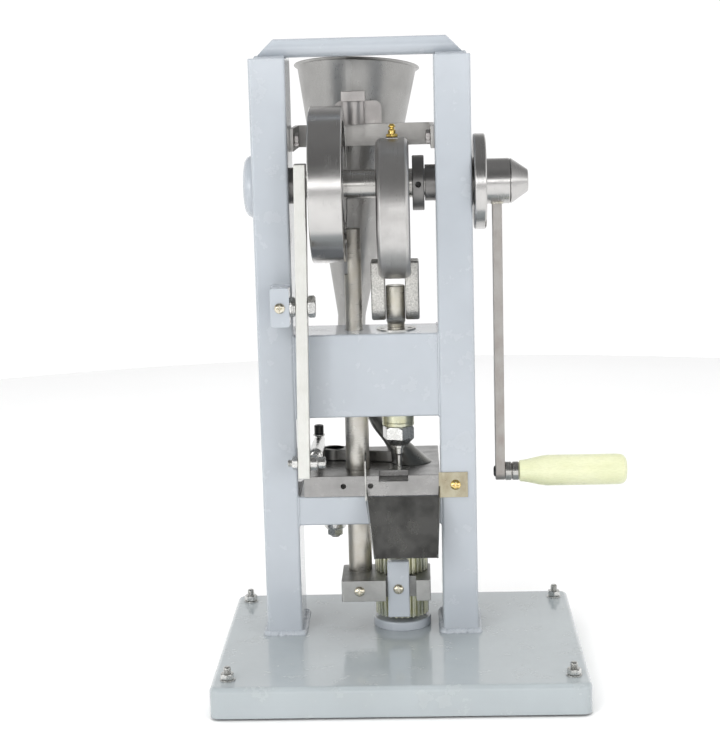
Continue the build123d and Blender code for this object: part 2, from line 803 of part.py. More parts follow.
# ================= eccentric strap =================
def make_eccentric_strap():
    """Ring with chamfered sides, a flat boss on top and two cast lugs below."""
    left, right = press_x - strap_width / 2, press_x + strap_width / 2
    ring = rod_x(strap_radius, left, right, press_y, sheave_z)
    ring = chamfer(ring.edges().filter_by(GeomType.CIRCLE), strap_chamfer)
    boss_top = sheave_z + strap_radius + 0.8
    ring += block(press_x - 6, press_x + 6, press_y - 7, press_y + 7, sheave_z, boss_top)
    for side in (-1, 1):
        a = press_x + side * lug_inner
        b = press_x + side * (lug_inner + lug_thickness)
        x0, x1 = min(a, b), max(a, b)
        lug = block(x0, x1, press_y - lug_radius, press_y + lug_radius, wrist_z, lug_top_z)
        lug = fillet(lug.edges().filter_by(Axis.X).group_by(Axis.Z)[-1], 5.0)
        lug += rod_x(lug_radius, x0, x1, press_y, wrist_z)
        ring += lug
    ring -= rod_x(sheave_radius + running_fit, left - 10, right + 10, press_y, sheave_z)
    ring -= rod_x(wrist_radius + seat_fit, left - 20, right + 20, press_y, wrist_z)
    return ring


def make_grease_nipple():
    base = sheave_z + strap_radius + 0.8
    nipple = hex_z(nipple_af, press_x, press_y, base, base + 2.6)
    nipple += turned_z([(0, base), (3.1, base), (3.1, base + 5.6), (2.1, base + 6.6),
                        (2.1, base + 7.8), (3.0, base + 8.8), (1.6, base + nipple_height),
                        (0, base + nipple_height)], press_x, press_y)
    return nipple


def make_wrist_pin_ends():
    """Outer thirds of the wrist pin, seated in the strap's lugs."""
    pins = []
    for side in (-1, 1):
        a = press_x + side * (lug_inner + seat_fit)
        b = press_x + side * (lug_inner + lug_thickness)
        pins.append(rod_x(wrist_radius, min(a, b), max(a, b), press_y, wrist_z))
    return pins


# ================= plunger =================
def make_plunger_rod():
    """Rod with a thick head between the strap's lugs, cross-bored for the wrist pin."""
    rod = rod_z(rod_radius, press_x, press_y, punch_seat, thread_bottom + 1)
    rod += rod_z(thread_radius, press_x, press_y, thread_bottom, head_bottom + 1)
    head = rod_z(head_radius, press_x, press_y, head_bottom, head_top)
    head = chamfer(head.edges().filter_by(GeomType.CIRCLE), 0.8)
    return rod + head - rod_x(wrist_radius + seat_fit, press_x - 20, press_x + 20, press_y, wrist_z)


def make_wrist_pin():
    """Middle third of the wrist pin, inside the plunger's head."""
    pin = rod_x(wrist_radius, press_x - head_radius, press_x + head_radius, press_y, wrist_z)
    return pin & rod_z(head_radius, press_x, press_y, head_bottom, head_top)


def make_plunger_sleeve():
    sleeve = rod_z(sleeve_radius, press_x, press_y, sleeve_bottom, sleeve_top)
    return sleeve - rod_z(rod_radius + seat_fit, press_x, press_y, sleeve_bottom - 1, sleeve_top + 1)


def make_punch_nut():
    """Hexagon nut that tapers below to hold the punch."""
    nut = hex_z(nut_af, press_x, press_y, nut_bottom, sleeve_bottom)
    corner = nut_af / 2 / cos(pi / 6)
    cone = turned_z([(0, nut_bottom), (8.6, nut_bottom), (corner + 0.1, nut_bottom + 5.5),
                     (corner + 0.1, sleeve_bottom - 1.2), (corner - 1.4, sleeve_bottom),
                     (0, sleeve_bottom)], press_x, press_y)
    nut = nut & cone
    nut -= rod_z(rod_radius + seat_fit, press_x, press_y, punch_seat, sleeve_bottom + 1)
    return nut - rod_z(stem_radius + seat_fit, press_x, press_y, nut_bottom - 1, punch_seat + 1)


def make_upper_punch():
    return turned_z([(0, upper_tip_z), (tip_radius, upper_tip_z), (tip_radius, stem_bottom - 1),
                     (stem_radius, stem_bottom), (stem_radius, punch_seat), (0, punch_seat)],
                    press_x, press_y)


# ================= lift gear =================
def make_lift_rod():
    """Stepped rod with a flat at the top that clears the cam wheel."""
    rod = rod_z(lift_radius, lift_x, press_y, fork_bottom, lift_step_z)
    rod += rod_z(lift_upper_radius, lift_x, press_y, lift_step_z, lift_top)
    flat_x = wheel_right + 0.8
    flat_z = shaft_z - wheel_radius - lift_travel - lift_flat_gap
    rod -= block(flat_x - 20, flat_x, 0, 90, flat_z, lift_top + 1)
    return rod - rod_x(roller_stud_radius + seat_fit, flat_x - 1, lift_x + 3, press_y, lift_roller_z)


def make_lift_roller():
    """Roller on its stud, in the wheel's right-hand groove."""
    stud = rod_x(roller_stud_radius, wheel_right, lift_x + 3, press_y, lift_roller_z)
    return stud + rod_x(roller_radius, wheel_right - groove_depth + 0.7, wheel_right, press_y, lift_roller_z)


def make_lift_fork():
    """Block clamped on the lift rod, forked at the front for the locking plate."""
    fork = block(fork_left, fork_right, fork_front, fork_back, fork_bottom, fork_top)
    fork = fillet(fork.edges().filter_by(Axis.Z), 2.0)
    fork -= block(slot_left, slot_right, fork_front - 1, fork_front + slot_depth,
                  fork_bottom - 1, fork_top + 1)
    fork -= rod_z(lift_radius + seat_fit, lift_x, press_y, fork_bottom - 1, fork_top + 1)
    fork -= rod_z(holder_radius + seat_fit, press_x, press_y, fork_bottom - 1, fork_top + 1)
    mid_z = fork_bottom + fork_height / 2
    fork -= rod_y(screw_radius + seat_fit, lift_x, fork_front - 1, press_y - lift_radius, mid_z)
    return fork - rod_y(screw_radius + seat_fit, plate_left + plate_width / 2,
                        fork_front + slot_depth - 1, fork_front + slot_depth + 7, mid_z)


def make_fork_screws():
    mid_z = fork_bottom + fork_height / 2
    clamp = phillips_screw(lift_x, fork_front, mid_z, press_y - lift_radius - fork_front - 0.2)
    plate_front = fork_front + slot_depth - plate_thickness
    lock = phillips_screw(plate_left + plate_width / 2, plate_front, mid_z, plate_thickness + 6)
    return [clamp, lock]


def make_locking_plate():
    """Bar in the fork's slot that keeps both gears from turning by themselves."""
    back = fork_front + slot_depth
    plate = block(plate_left, plate_left + plate_width, back - plate_thickness, back,
                  plate_bottom, plate_bottom + plate_height)
    plate = chamfer(plate.edges(), 0.6)
    return plate - rod_y(screw_radius + seat_fit, plate_left + plate_width / 2, 0, back + 1,
                         fork_bottom + fork_height / 2)


def make_gear(bottom, height):
    """Toothed adjusting wheel, bored for the lower punch holder."""
    step = 360.0 / gear_teeth
    root = gear_radius - tooth_depth
    outline = []
    for i in range(gear_teeth):
        for share, radius in ((-0.30, root), (-0.17, gear_radius), (0.17, gear_radius), (0.30, root)):
            angle = radians((i + share) * step)
            outline.append((radius * cos(angle), radius * sin(angle)))
    disc = extrude(make_face(Polyline(*outline, close=True)), height)
    disc = Pos(press_x, press_y, bottom) * disc
    return disc - rod_z(holder_radius + running_fit, press_x, press_y, bottom - 1, bottom + height + 1)


def make_lower_punch():
    """Holder through fork and gears, necked above, with the punch on top."""
    return turned_z([(0, holder_bottom), (holder_radius, holder_bottom), (holder_radius, holder_shoulder),
                     (holder_neck_radius, holder_shoulder + 3), (holder_neck_radius, holder_top),
                     (tip_radius, holder_top), (tip_radius, lower_tip_z), (0, lower_tip_z)],
                    press_x, press_y)


# ================= feeder lever and link =================
def lever_centre_x(z):
    share = (z - lever_bottom) / (lever_top - lever_bottom)
    return lever_bottom_x + share * (lever_top_x - lever_bottom_x)


def lever_face_x(z, side):
    """X of the lever's right (+1) or left (-1) face at a height."""
    return lever_centre_x(z) + side * lever_width / 2


def make_feeder_lever():
    """Flat bar, leaning slightly to the left towards its lower end."""
    corners = [(lever_face_x(lever_bottom, -1), lever_bottom), (lever_face_x(lever_bottom, 1), lever_bottom),
               (lever_face_x(lever_top, 1), lever_top), (lever_face_x(lever_top, -1), lever_top)]
    back = lever_y + lever_depth / 2
    face = make_face(Polyline(*[(x, back, z) for x, z in corners], close=True))
    lever = extrude(face, amount=lever_depth, dir=(0, -1, 0))
    lever = chamfer(lever.edges(), 0.6)
    for z, radius in ((pivot_z, pivot_radius + running_fit), (link_z, link_bolt_radius + seat_fit),
                      (lever_roller_z, roller_stud_radius + seat_fit)):
        lever -= rod_x(radius, -99, -50, lever_y, z)
    return lever


def make_lever_roller():
    """Roller on its stud, in the wheel's left-hand groove."""
    face = lever_face_x(lever_roller_z, 1)
    stud = rod_x(roller_stud_radius, face - lever_width + 1, wheel_left, lever_y, lever_roller_z)
    return stud + rod_x(roller_radius, wheel_left, wheel_left + groove_depth - 0.7, lever_y, lever_roller_z)


def eye_left():
    return lever_face_x(link_z, 1) + body_gap + 0.1


def make_link_bolt():
    """Bolt through the lever's foot and the link's eye, with its nut."""
    head_left = eye_left() + eye_width + body_gap
    nut_right = lever_face_x(link_z, -1) - 0.2
    shank = rod_x(link_bolt_radius, nut_right - 8.5, head_left, lever_y, link_z)
    head = rod_x(link_head_radius, head_left, head_left + 6, lever_y, link_z)
    head -= hex_x(4.0, head_left + 2.5, head_left + 7, lever_y, link_z)
    nut = hex_x(m6_nut_af, nut_right - m6_nut_height, nut_right, lever_y, link_z)
    nut -= rod_x(link_bolt_radius + seat_fit, nut_right - 9, nut_right + 1, lever_y, link_z)
    return [shank + head, nut]


def make_link_rod():
    """Eye at the front, thin neck and a thick bored body over the shoe's post."""
    rear = post_y + link_rear_overhang
    rod = rod_x(eye_radius, eye_left(), eye_left() + eye_width, lever_y, link_z)
    rod += rod_y(link_neck_radius, link_x, lever_y + eye_radius - 1.5, link_neck_end + 1, link_z)
    body = rod_y(link_radius, link_x, link_neck_end, rear, link_z)
    body = chamfer(body.edges().filter_by(GeomType.CIRCLE), 1.2)
    rod += body
    rod -= rod_x(link_bolt_radius + running_fit, -99, -50, lever_y, link_z)
    rod -= block(link_x - 9, link_x + 9, post_y - 9, rear + 1, link_z + link_radius - 0.8, 199)
    rod -= block(link_x - 9, link_x + 9, post_y - 9, rear + 1, 150, link_z - link_radius + 0.8)
    return rod - rod_z(post_radius + post_hole_clearance, link_x, post_y, 150, 199)


# ================= feed shoe =================
def shoe_sections(inset):
    """Circles (x, y, z, radius) up the shoe: outlet, hood, neck, funnel mouth."""
    reach = degrees(atan2(hopper_spout_y - shoe_pivot_y, hopper_spout_x - shoe_pivot_x))
    distance = hypot(hopper_spout_x - shoe_pivot_x, hopper_spout_y - shoe_pivot_y)
    mouth = radians(reach + shoe_swing / 2)
    mouth_x = shoe_pivot_x + distance * cos(mouth)
    mouth_y = shoe_pivot_y + distance * sin(mouth)
    low = shoe_bottom - (0.5 if inset else 0.0)
    high = mouth_z + (0.5 if inset else 0.0)
    return [(outlet_x, outlet_y, low, outlet_radius - inset),
            (outlet_x - 11.5, outlet_y + 5, shoe_bottom + 17, 12.5 - inset),
            (outlet_x - 29, outlet_y + 12, shoe_bottom + 31, 7.2 - inset),
            (outlet_x - 33, outlet_y + 16, shoe_bottom + 39, 7.2 - inset),
            (mouth_x, mouth_y, mouth_z - mouth_collar, mouth_radius - inset),
            (mouth_x, mouth_y, high, mouth_radius - inset)]


def shoe_body(inset):
    circles = [Pos(x, y, z) * Circle(r) for x, y, z, r in shoe_sections(inset)]
    return loft(Sketch() + circles, ruled=True)


def make_feed_shoe():
    """Funnel, neck and hood in one casting, on an arm that swings about the pivot bolt."""
    reach = die_reach - outlet_radius * 0.6
    arm = Pos(shoe_pivot_x, shoe_pivot_y, shoe_bottom) * Rot(0, 0, degrees(outlet_angle)) * Box(
        reach, 2 * shoe_arm_half, arm_height, align=(Align.MIN, Align.CENTER, Align.MIN))
    arm += rod_z(shoe_boss_radius, shoe_pivot_x, shoe_pivot_y, shoe_bottom, shoe_arm_top)
    arm += rod_z(post_boss_radius, link_x, post_y, shoe_bottom, shoe_arm_top)
    shoe = arm + shoe_body(0) - shoe_body(shoe_wall)
    shoe -= rod_z(pivot_bolt_radius + seat_fit, shoe_pivot_x, shoe_pivot_y, 150, 199)
    shoe -= rod_z(pivot_bolt_head + seat_fit, shoe_pivot_x, shoe_pivot_y, shoe_arm_top - 3.5, 199)
    return shoe - rod_z(post_radius + seat_fit, link_x, post_y, 150, shoe_arm_top + 1)


def make_link_post():
    """Socket-head bolt in the shoe's arm, with a washer over the link."""
    top = link_z + link_radius - 0.8 + body_gap
    shank = rod_z(post_radius, link_x, post_y, shoe_bottom + 1, top + washer_thickness)
    head = rod_z(post_head_radius, link_x, post_y, top + washer_thickness, top + washer_thickness + post_head)
    head = chamfer(head.edges().sort_by(Axis.Z)[-1], 0.5)
    head -= hex_z(4.0, link_x, post_y, top + washer_thickness + post_head - 3.5, 210)
    washer = rod_z(5.2, link_x, post_y, top, top + washer_thickness)
    washer -= rod_z(post_radius + seat_fit, link_x, post_y, top - 1, top + 9)
    return [shank + head, washer]


def make_shoe_pivot_bolt():
    top = shoe_arm_top - 0.2
    bolt = rod_z(pivot_bolt_radius, shoe_pivot_x, shoe_pivot_y, cup_bottom - 8, top)
    bolt += rod_z(pivot_bolt_head, shoe_pivot_x, shoe_pivot_y, top - 3.3, top)
    return bolt - hex_z(5.0, shoe_pivot_x, shoe_pivot_y, top - 2.2, top + 1)


def make_pivot_spring():
    low, high = cup_bottom + cup_height, table_bottom - body_gap
    spring = rod_z(spring_outer, shoe_pivot_x, shoe_pivot_y, low, high)
    return spring - rod_z(spring_inner, shoe_pivot_x, shoe_pivot_y, low - 1, high + 1)


def make_spring_cup():
    """Cup under the spring and the nut that holds it."""
    hole = rod_z(pivot_bolt_radius + seat_fit, shoe_pivot_x, shoe_pivot_y, 0, 199)
    cup = rod_z(cup_radius, shoe_pivot_x, shoe_pivot_y, cup_bottom, cup_bottom + cup_height)
    cup = fillet(cup.edges().sort_by(Axis.Z)[0], 1.0)
    nut = hex_z(13.0, shoe_pivot_x, shoe_pivot_y, cup_bottom - 6, cup_bottom)
    return [cup - hole, nut - hole]


def bored_columns():
    """Both columns, with their holes for the bracket bolts and the ear's screw."""
    holes = bracket_bolt_holes()
    ear_hole = rod_y(screw_radius + seat_fit, ear_left + ear_width / 2, column_front - 1,
                     column_front + column_wall + 1, ear_top - ear_height / 2)
    return column(outer_left) - holes, column(inner_right) - holes - ear_hole


left_column, right_column = bored_columns()
nodes = {
    "base_pan": make_base_pan(),
    "rubber_feet": make_rubber_feet(),
    "foot_hardware": make_foot_hardware(),
    "base_boss": make_base_boss(),
    "left_column": left_column,
    "right_column": right_column,
    "top_handle": make_top_handle(),
    "middle_crossmember": make_middle_crossmember(),
    "lower_crossmember": make_lower_crossmember(),
    "guide_bush": make_guide_bush(),
    "lift_rod_bush": make_lift_rod_bush(),
    "frame_bolts": make_frame_bolts(),
    "shaft_bushes": make_shaft_bushes(),
    "left_bearing_cap": make_left_bearing_cap(),
    "lever_bracket": make_lever_bracket(),
    "lever_pivot_bolt": make_lever_pivot_bolt(),
    "die_table": make_die_table(),
    "die": make_die(),
    "chute": make_chute(),
    "phillips_screws": make_phillips_screws(),
    "hopper": make_hopper(),
    "hopper_bracket": make_hopper_bracket(),
    "hopper_clamp": make_hopper_clamp(),
    "main_shaft": make_main_shaft(),
    "cam_wheel": make_cam_wheel(),
    "eccentric_sheave": make_eccentric_sheave(),
    "shaft_collar": make_shaft_collar(),
    "flange_disc": make_flange_disc(),
    "crank_hub": make_crank_hub(),
    "hub_nose": make_hub_nose(),
    "crank_arm": make_crank_arm(),
    "crank_pin": make_crank_pin(),
    "crank_grip": make_crank_grip(),
    "eccentric_strap": make_eccentric_strap(),
    "grease_nipple": make_grease_nipple(),
    "wrist_pin_ends": make_wrist_pin_ends(),
    "wrist_pin": make_wrist_pin(),
    "plunger_rod": make_plunger_rod(),
    "plunger_sleeve": make_plunger_sleeve(),
    "punch_nut": make_punch_nut(),
    "upper_punch": make_upper_punch(),
    "lift_rod": make_lift_rod(),
    "lift_roller": make_lift_roller(),
    "lift_fork": make_lift_fork(),
    "fork_screws": make_fork_screws(),
    "locking_plate": make_locking_plate(),
    "lower_punch": make_lower_punch(),
    "ejection_gear": make_gear(fork_top + body_gap, gear_height),
    "fill_gear": make_gear(fork_bottom - body_gap - fill_gear_height, fill_gear_height),
    "feeder_lever": make_feeder_lever(),
    "lever_roller": make_lever_roller(),
    "link_bolt": make_link_bolt(),
    "link_rod": make_link_rod(),
    "feed_shoe": make_feed_shoe(),
    "link_post": make_link_post(),
    "shoe_pivot_bolt": make_shoe_pivot_bolt(),
    "pivot_spring": make_pivot_spring(),
    "spring_cup": make_spring_cup(),
}

os.makedirs("parts", exist_ok=True)
for name, shape in nodes.items():
    solid = Compound(children=shape) if isinstance(shape, list) else shape
    export_step(solid, f"parts/{name}.step")
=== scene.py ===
from math import atan2, ceil, cos, pi, radians, sin, sqrt

import bmesh
import bpy
from mathutils import Matrix, Vector, noise


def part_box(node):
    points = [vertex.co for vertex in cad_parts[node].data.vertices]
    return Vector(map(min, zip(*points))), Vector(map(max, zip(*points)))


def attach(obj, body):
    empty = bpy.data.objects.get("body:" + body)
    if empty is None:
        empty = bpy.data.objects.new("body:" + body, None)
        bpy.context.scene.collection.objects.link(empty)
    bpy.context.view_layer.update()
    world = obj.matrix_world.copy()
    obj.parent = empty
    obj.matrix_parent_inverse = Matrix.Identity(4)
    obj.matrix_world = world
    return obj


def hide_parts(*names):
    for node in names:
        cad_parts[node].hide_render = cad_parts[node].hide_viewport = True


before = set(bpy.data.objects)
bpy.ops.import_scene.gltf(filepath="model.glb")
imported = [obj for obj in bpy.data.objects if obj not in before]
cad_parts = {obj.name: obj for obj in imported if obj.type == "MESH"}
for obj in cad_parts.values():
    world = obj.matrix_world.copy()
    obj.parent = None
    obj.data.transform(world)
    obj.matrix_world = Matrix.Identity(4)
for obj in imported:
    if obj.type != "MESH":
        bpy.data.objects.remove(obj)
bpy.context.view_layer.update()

# Lengths of pieces are in millimetres, in the part's own frame, and become metres in add_piece().
# The lights and the floor are given in metres.
MM = 0.001
ROUND = 96
HOLE_SEGMENTS = 40

PRESS_X, PRESS_Y = 1.0, 37.0
SHAFT_Z = 406.5
SHEAVE_Z = 385.5
WRIST_Z = 304.0
CRANK_Z = 159.5
LIFT_X = -34.3
LEVER_Y, LEVER_Z = -10.0, 311.0
LINK_X, LINK_Z = -68.9, 180.5
PRESS_AXIS = ("Z", (PRESS_X, PRESS_Y, 0))
LIFT_AXIS = ("Z", (LIFT_X, PRESS_Y, 0))
SHAFT_AXIS = ("X", (0, PRESS_Y, SHAFT_Z))
SHEAVE_AXIS = ("X", (0, PRESS_Y, SHEAVE_Z))
CRANK_AXIS = ("X", (0, PRESS_Y, CRANK_Z))
WRIST_AXIS = ("X", (0, PRESS_Y, WRIST_Z))
LEVER_AXIS = ("X", (0, LEVER_Y, LEVER_Z))
LINK_AXIS = ("X", (0, LEVER_Y, LINK_Z))

SHAFT_RADIUS = 12.0
SHAFT_BORE = 12.05
WHEEL_RADIUS = 65.0
LIFT_TRAVEL = 8.4
LIFT_GAP = 2.1
STRAP_BORE = 44.06
# Heights of the welded frame, and the front and back of its cross members.
BASE_TOP = 26.5
LOWER_MEMBER = (122.0, 146.8)
MIDDLE_MEMBER = (214.3, 284.3)
MEMBER_FRONT, MEMBER_BACK = 8.2, 65.8
TABLE_TOP = 164.4
COLUMN_TOP = 511.5
COLUMNS = ((-114.0, -84.0), (36.0, 66.0))
COLUMN_FRONT, COLUMN_BACK = 7.0, 67.0
FRAME_BOLT_FLATS = 10.0
FEET = [(sx * 137.0, sy * 104.0) for sx in (-1, 1) for sy in (-1, 1)]


# ---- shaders
def color_sockets(sockets):
    return [socket for socket in sockets if socket.type == "RGBA"]


def shade(color, factor):
    return tuple(min(1.0, c * factor) for c in color)


class Nodes:
    """The few node helpers that the materials and the world share."""

    def __init__(self, tree):
        self.tree = tree
        self.coords = self.node("TexCoord").outputs

    def node(self, kind, *values, operation=None):
        """A new node with its first inputs joined to values."""
        node = self.tree.nodes.new("ShaderNode" + kind)
        if operation:
            node.operation = operation
        for value, target in zip(values, node.inputs):
            self.join(value, target)
        return node

    def join(self, source, target):
        if isinstance(source, (int, float)):
            target.default_value = source
        elif isinstance(source, tuple):
            whole = len(source) == len(target.default_value)
            target.default_value = source if whole else (*source, 1.0)
        else:
            self.tree.links.new(source, target)

    def math(self, operation, *values):
        return self.node("Math", *values, operation=operation).outputs[0]

    def plus(self, a, b):
        return self.math("ADD", a, b)

    def times(self, a, b):
        return self.math("MULTIPLY", a, b)

    def stretch(self, vector, amounts):
        return self.node("VectorMath", vector, amounts, operation="MULTIPLY").outputs[0]

    def split(self, vector):
        return self.node("SeparateXYZ", vector).outputs

    def combine(self, *values):
        return self.node("CombineXYZ", *values).outputs[0]

    def noise(self, scale, detail=3.0, roughness=0.55, vector=None):
        node = self.node("TexNoise")
        node.inputs["Scale"].default_value = scale
        node.inputs["Detail"].default_value = detail
        node.inputs["Roughness"].default_value = roughness
        self.join(self.place if vector is None else vector, node.inputs["Vector"])
        return node.outputs["Fac"]

    def remap(self, value, low, high, to_low=0.0, to_high=1.0):
        node = self.node("MapRange")
        ends = {"From Min": low, "From Max": high, "To Min": to_low, "To Max": to_high}
        for socket, number in ends.items():
            node.inputs[socket].default_value = number
        self.join(value, node.inputs["Value"])
        return node.outputs[0]

    def mix(self, factor, a, b):
        node = self.node("Mix")
        node.data_type = "RGBA"
        self.join(factor, node.inputs["Factor"])
        for value, target in zip((a, b), color_sockets(node.inputs)):
            self.join(value, target)
        return color_sockets(node.outputs)[0]

    def ramp(self, value, stops):
        """Grey levels that change with a value, as (value, level) stops."""
        node = self.node("ValToRGB", value)
        elements = node.color_ramp.elements
        while len(elements) < len(stops):
            elements.new(0.5)
        for element, (spot, level) in zip(elements, stops):
            element.position = spot
            element.color = (level, level, level, 1)
        return node.outputs[0]


class Shader(Nodes):
    """A principled material."""

    def __init__(self, name, roughness, metallic=0.0, **sockets):
        self.material = bpy.data.materials.new(name)
        self.material.use_nodes = True
        super().__init__(self.material.node_tree)
        self.bsdf = self.tree.nodes["Principled BSDF"]
        self.set("Roughness", roughness)
        self.set("Metallic", metallic)
        for socket, value in sockets.items():
            self.set(socket.replace("_", " "), value)
        scaled = self.node("VectorMath", self.coords["Object"], operation="SCALE")
        scaled.inputs["Scale"].default_value = 1 / MM
        self.place = scaled.outputs[0]

    def set(self, socket, value):
        self.bsdf.inputs[socket].default_value = value

    def bump(self, height, distance, strength, normal=None):
        node = self.node("Bump")
        node.inputs["Distance"].default_value = distance * MM
        node.inputs["Strength"].default_value = strength
        self.join(height, node.inputs["Height"])
        if normal is not None:
            self.join(normal, node.inputs["Normal"])
        return node.outputs[0]

    def rounded(self, radius):
        node = self.node("Bevel")
        node.samples = 4
        node.inputs["Radius"].default_value = radius * MM
        return node.outputs[0]

    def worn(self, low=0.52, high=0.60):
        return self.remap(self.node("NewGeometry").outputs["Pointiness"], low, high)

    def wire(self, color=None, roughness=None, normal=None):
        for value, socket in ((color, "Base Color"), (roughness, "Roughness"), (normal, "Normal")):
            if value is not None:
                self.join(value, self.bsdf.inputs[socket])
        return self.material


def enamel(name, color, grime=0.10):
    """Gloss paint: orange peel, soft tone drift, dark specks and smudges."""
    s = Shader(name, 0.22, Coat_Weight=0.55, Coat_Roughness=0.06, Specular_IOR_Level=0.5)
    drift = s.remap(s.noise(0.012, 4), 0.3, 0.7, -0.5, 0.5)
    light = shade(color, 1.05)
    dull = shade(color, 0.93)
    tone = s.mix(s.plus(drift, 0.5), dull, light)
    specks = s.remap(s.noise(0.55, 2), 0.73, 0.79)
    tone = s.mix(s.times(specks, 0.2), tone, shade(color, 0.62))
    smudge = s.remap(s.noise(0.045, 5, 0.65), 0.52, 0.72)
    tone = s.mix(s.times(smudge, grime), tone, (0.36, 0.37, 0.36))
    peel = s.noise(0.28, 2)
    fine = s.noise(1.6, 2)
    height = s.plus(peel, s.times(fine, 0.25))
    rough = s.remap(smudge, 0, 1, 0.2, 0.36)
    return s.wire(tone, rough, s.bump(height, 0.12, 0.35, s.rounded(0.9)))


def polar(s, axis, centre):
    """Distance along an axis, distance from it and angle about it, in millimetres and radians."""
    parts = s.split(s.place)
    order = {"X": (0, 1, 2), "Y": (1, 0, 2), "Z": (2, 0, 1)}[axis]
    along, a, b = (parts[i] for i in order)
    a = s.math("SUBTRACT", a, centre[0])
    b = s.math("SUBTRACT", b, centre[1])
    radius = s.math("SQRT", s.plus(s.times(a, a), s.times(b, b)))
    return along, radius, s.math("ARCTAN2", b, a)


def turned(name, color, axis, centre, roughness=0.2, marks=0.25, tint=None, stain=0.25, stretch=0.5,
    mottle=0.0):
    """Lathe-turned metal: fine rings about the axis, cloudy stain and, on request, a mottle."""
    s = Shader(name, roughness, 1.0, Anisotropic=stretch)
    along, radius, angle = polar(s, axis, centre)
    rings = s.combine(s.times(along, 3.2), s.times(radius, 3.2),
        s.times(angle, 0.35))
    fine = s.noise(1.0, 4, 0.7, rings)
    broad = s.noise(0.12, 2, 0.5, rings)
    cloud = s.noise(0.05, 4, 0.6)
    tint = tint or shade(color, 0.72)
    tone = s.mix(s.remap(cloud, 0.42, 0.7, 0.0, stain), color, tint)
    tone = s.mix(s.remap(fine, 0.3, 0.75, 0.0, 0.22), tone, shade(color, 0.6))
    rough = s.plus(s.remap(fine, 0.3, 0.7, roughness - 0.05, roughness + 0.08),
        s.remap(cloud, 0.45, 0.7, 0.0, 0.08))
    height = s.plus(fine, s.times(broad, 0.6))
    if mottle:
        height = s.plus(height, s.times(s.noise(0.5, 4, 0.65), mottle * 6))
    tangent = s.node("Tangent")
    tangent.direction_type = "RADIAL"
    tangent.axis = axis
    s.join(tangent.outputs[0], s.bsdf.inputs["Tangent"])
    return s.wire(tone, rough, s.bump(height, 0.03, marks))


def ground(name, color, grain=(0.25, 6.0, 6.0), roughness=0.28, marks=0.3, stain=0.35, edge=0.5,
    tint=None):
    """Ground or drawn metal: long scratches one way, mottled stain, brighter rubbed edges."""
    s = Shader(name, roughness, 1.0)
    stretched = s.stretch(s.place, grain)
    fine = s.noise(0.6, 5, 0.7, stretched)
    long = s.noise(0.1, 3, 0.6, stretched)
    cloud = s.noise(0.055, 5, 0.65)
    tint = tint or shade(color, 0.62)
    tone = s.mix(s.remap(cloud, 0.4, 0.72, 0.0, stain), color, tint)
    tone = s.mix(s.remap(fine, 0.35, 0.75, 0.0, 0.25), tone, shade(color, 0.55))
    tone = s.mix(s.times(s.worn(), edge), tone, shade(color, 1.35))
    rough = s.plus(s.remap(fine, 0.3, 0.7, roughness - 0.06, roughness + 0.1),
        s.remap(cloud, 0.4, 0.7, 0.0, 0.12))
    height = s.plus(fine, s.times(long, 0.8))
    return s.wire(tone, rough, s.bump(height, 0.035, marks, s.rounded(0.4)))


def cast(name, color, roughness=0.3):
    """Bright-plated casting: pitted, sparkling skin."""
    s = Shader(name, roughness, 1.0)
    pits = s.noise(0.75, 4, 0.6)
    grit = s.noise(2.4, 3, 0.6)
    tone = s.mix(s.remap(pits, 0.35, 0.65), shade(color, 0.6), color)
    rough = s.remap(grit, 0.3, 0.7, roughness - 0.08, roughness + 0.16)
    height = s.plus(pits, s.times(grit, 0.35))
    return s.wire(tone, rough, s.bump(height, 0.7, 0.75))


def plated(name, color, second, roughness=0.25, patch=0.09):
    """Zinc or brass plate whose tone wanders between two colours."""
    s = Shader(name, roughness, 1.0)
    drift = s.noise(patch, 4, 0.6)
    grit = s.noise(1.3, 3, 0.6)
    tone = s.mix(s.remap(drift, 0.35, 0.65), color, second)
    tone = s.mix(s.times(s.worn(0.53, 0.62), 0.5), tone, (0.8, 0.8, 0.76))
    rough = s.remap(grit, 0.3, 0.7, roughness - 0.06, roughness + 0.1)
    return s.wire(tone, rough, s.bump(grit, 0.05, 0.3, s.rounded(0.2)))


def sheet(name):
    """Dark smudged sheet, a mirror in patches, going to warm bare metal on the ear."""
    s = Shader(name, 0.22, 1.0)
    cloud = s.noise(0.045, 3, 0.5)
    smear = s.noise(0.09, 5, 0.65, s.stretch(s.place, (1.0, 0.5, 0.5)))
    tone = s.mix(s.remap(cloud, 0.38, 0.62), (0.27, 0.27, 0.26), (0.50, 0.498, 0.48))
    tone = s.mix(s.remap(smear, 0.5, 0.75, 0.0, 0.6), tone, (0.46, 0.46, 0.43))
    across = s.split(s.place)[0]
    warm = s.mix(s.remap(smear, 0.35, 0.6), (0.44, 0.41, 0.31), (0.35, 0.31, 0.22))
    tone = s.mix(s.remap(across, 33.6, 34.4), tone, warm)
    rough = s.remap(smear, 0.4, 0.75, 0.16, 0.34)
    return s.wire(tone, rough, s.bump(s.noise(0.03, 2), 0.25, 0.5))


def rubber(name):
    s = Shader(name, 0.75, Specular_IOR_Level=0.3)
    grit = s.noise(1.1, 4, 0.6)
    tone = s.mix(s.remap(grit, 0.4, 0.7), (0.018, 0.018, 0.019), (0.045, 0.044, 0.043))
    return s.wire(tone, s.remap(grit, 0.3, 0.7, 0.62, 0.85), s.bump(grit, 0.12, 0.5))


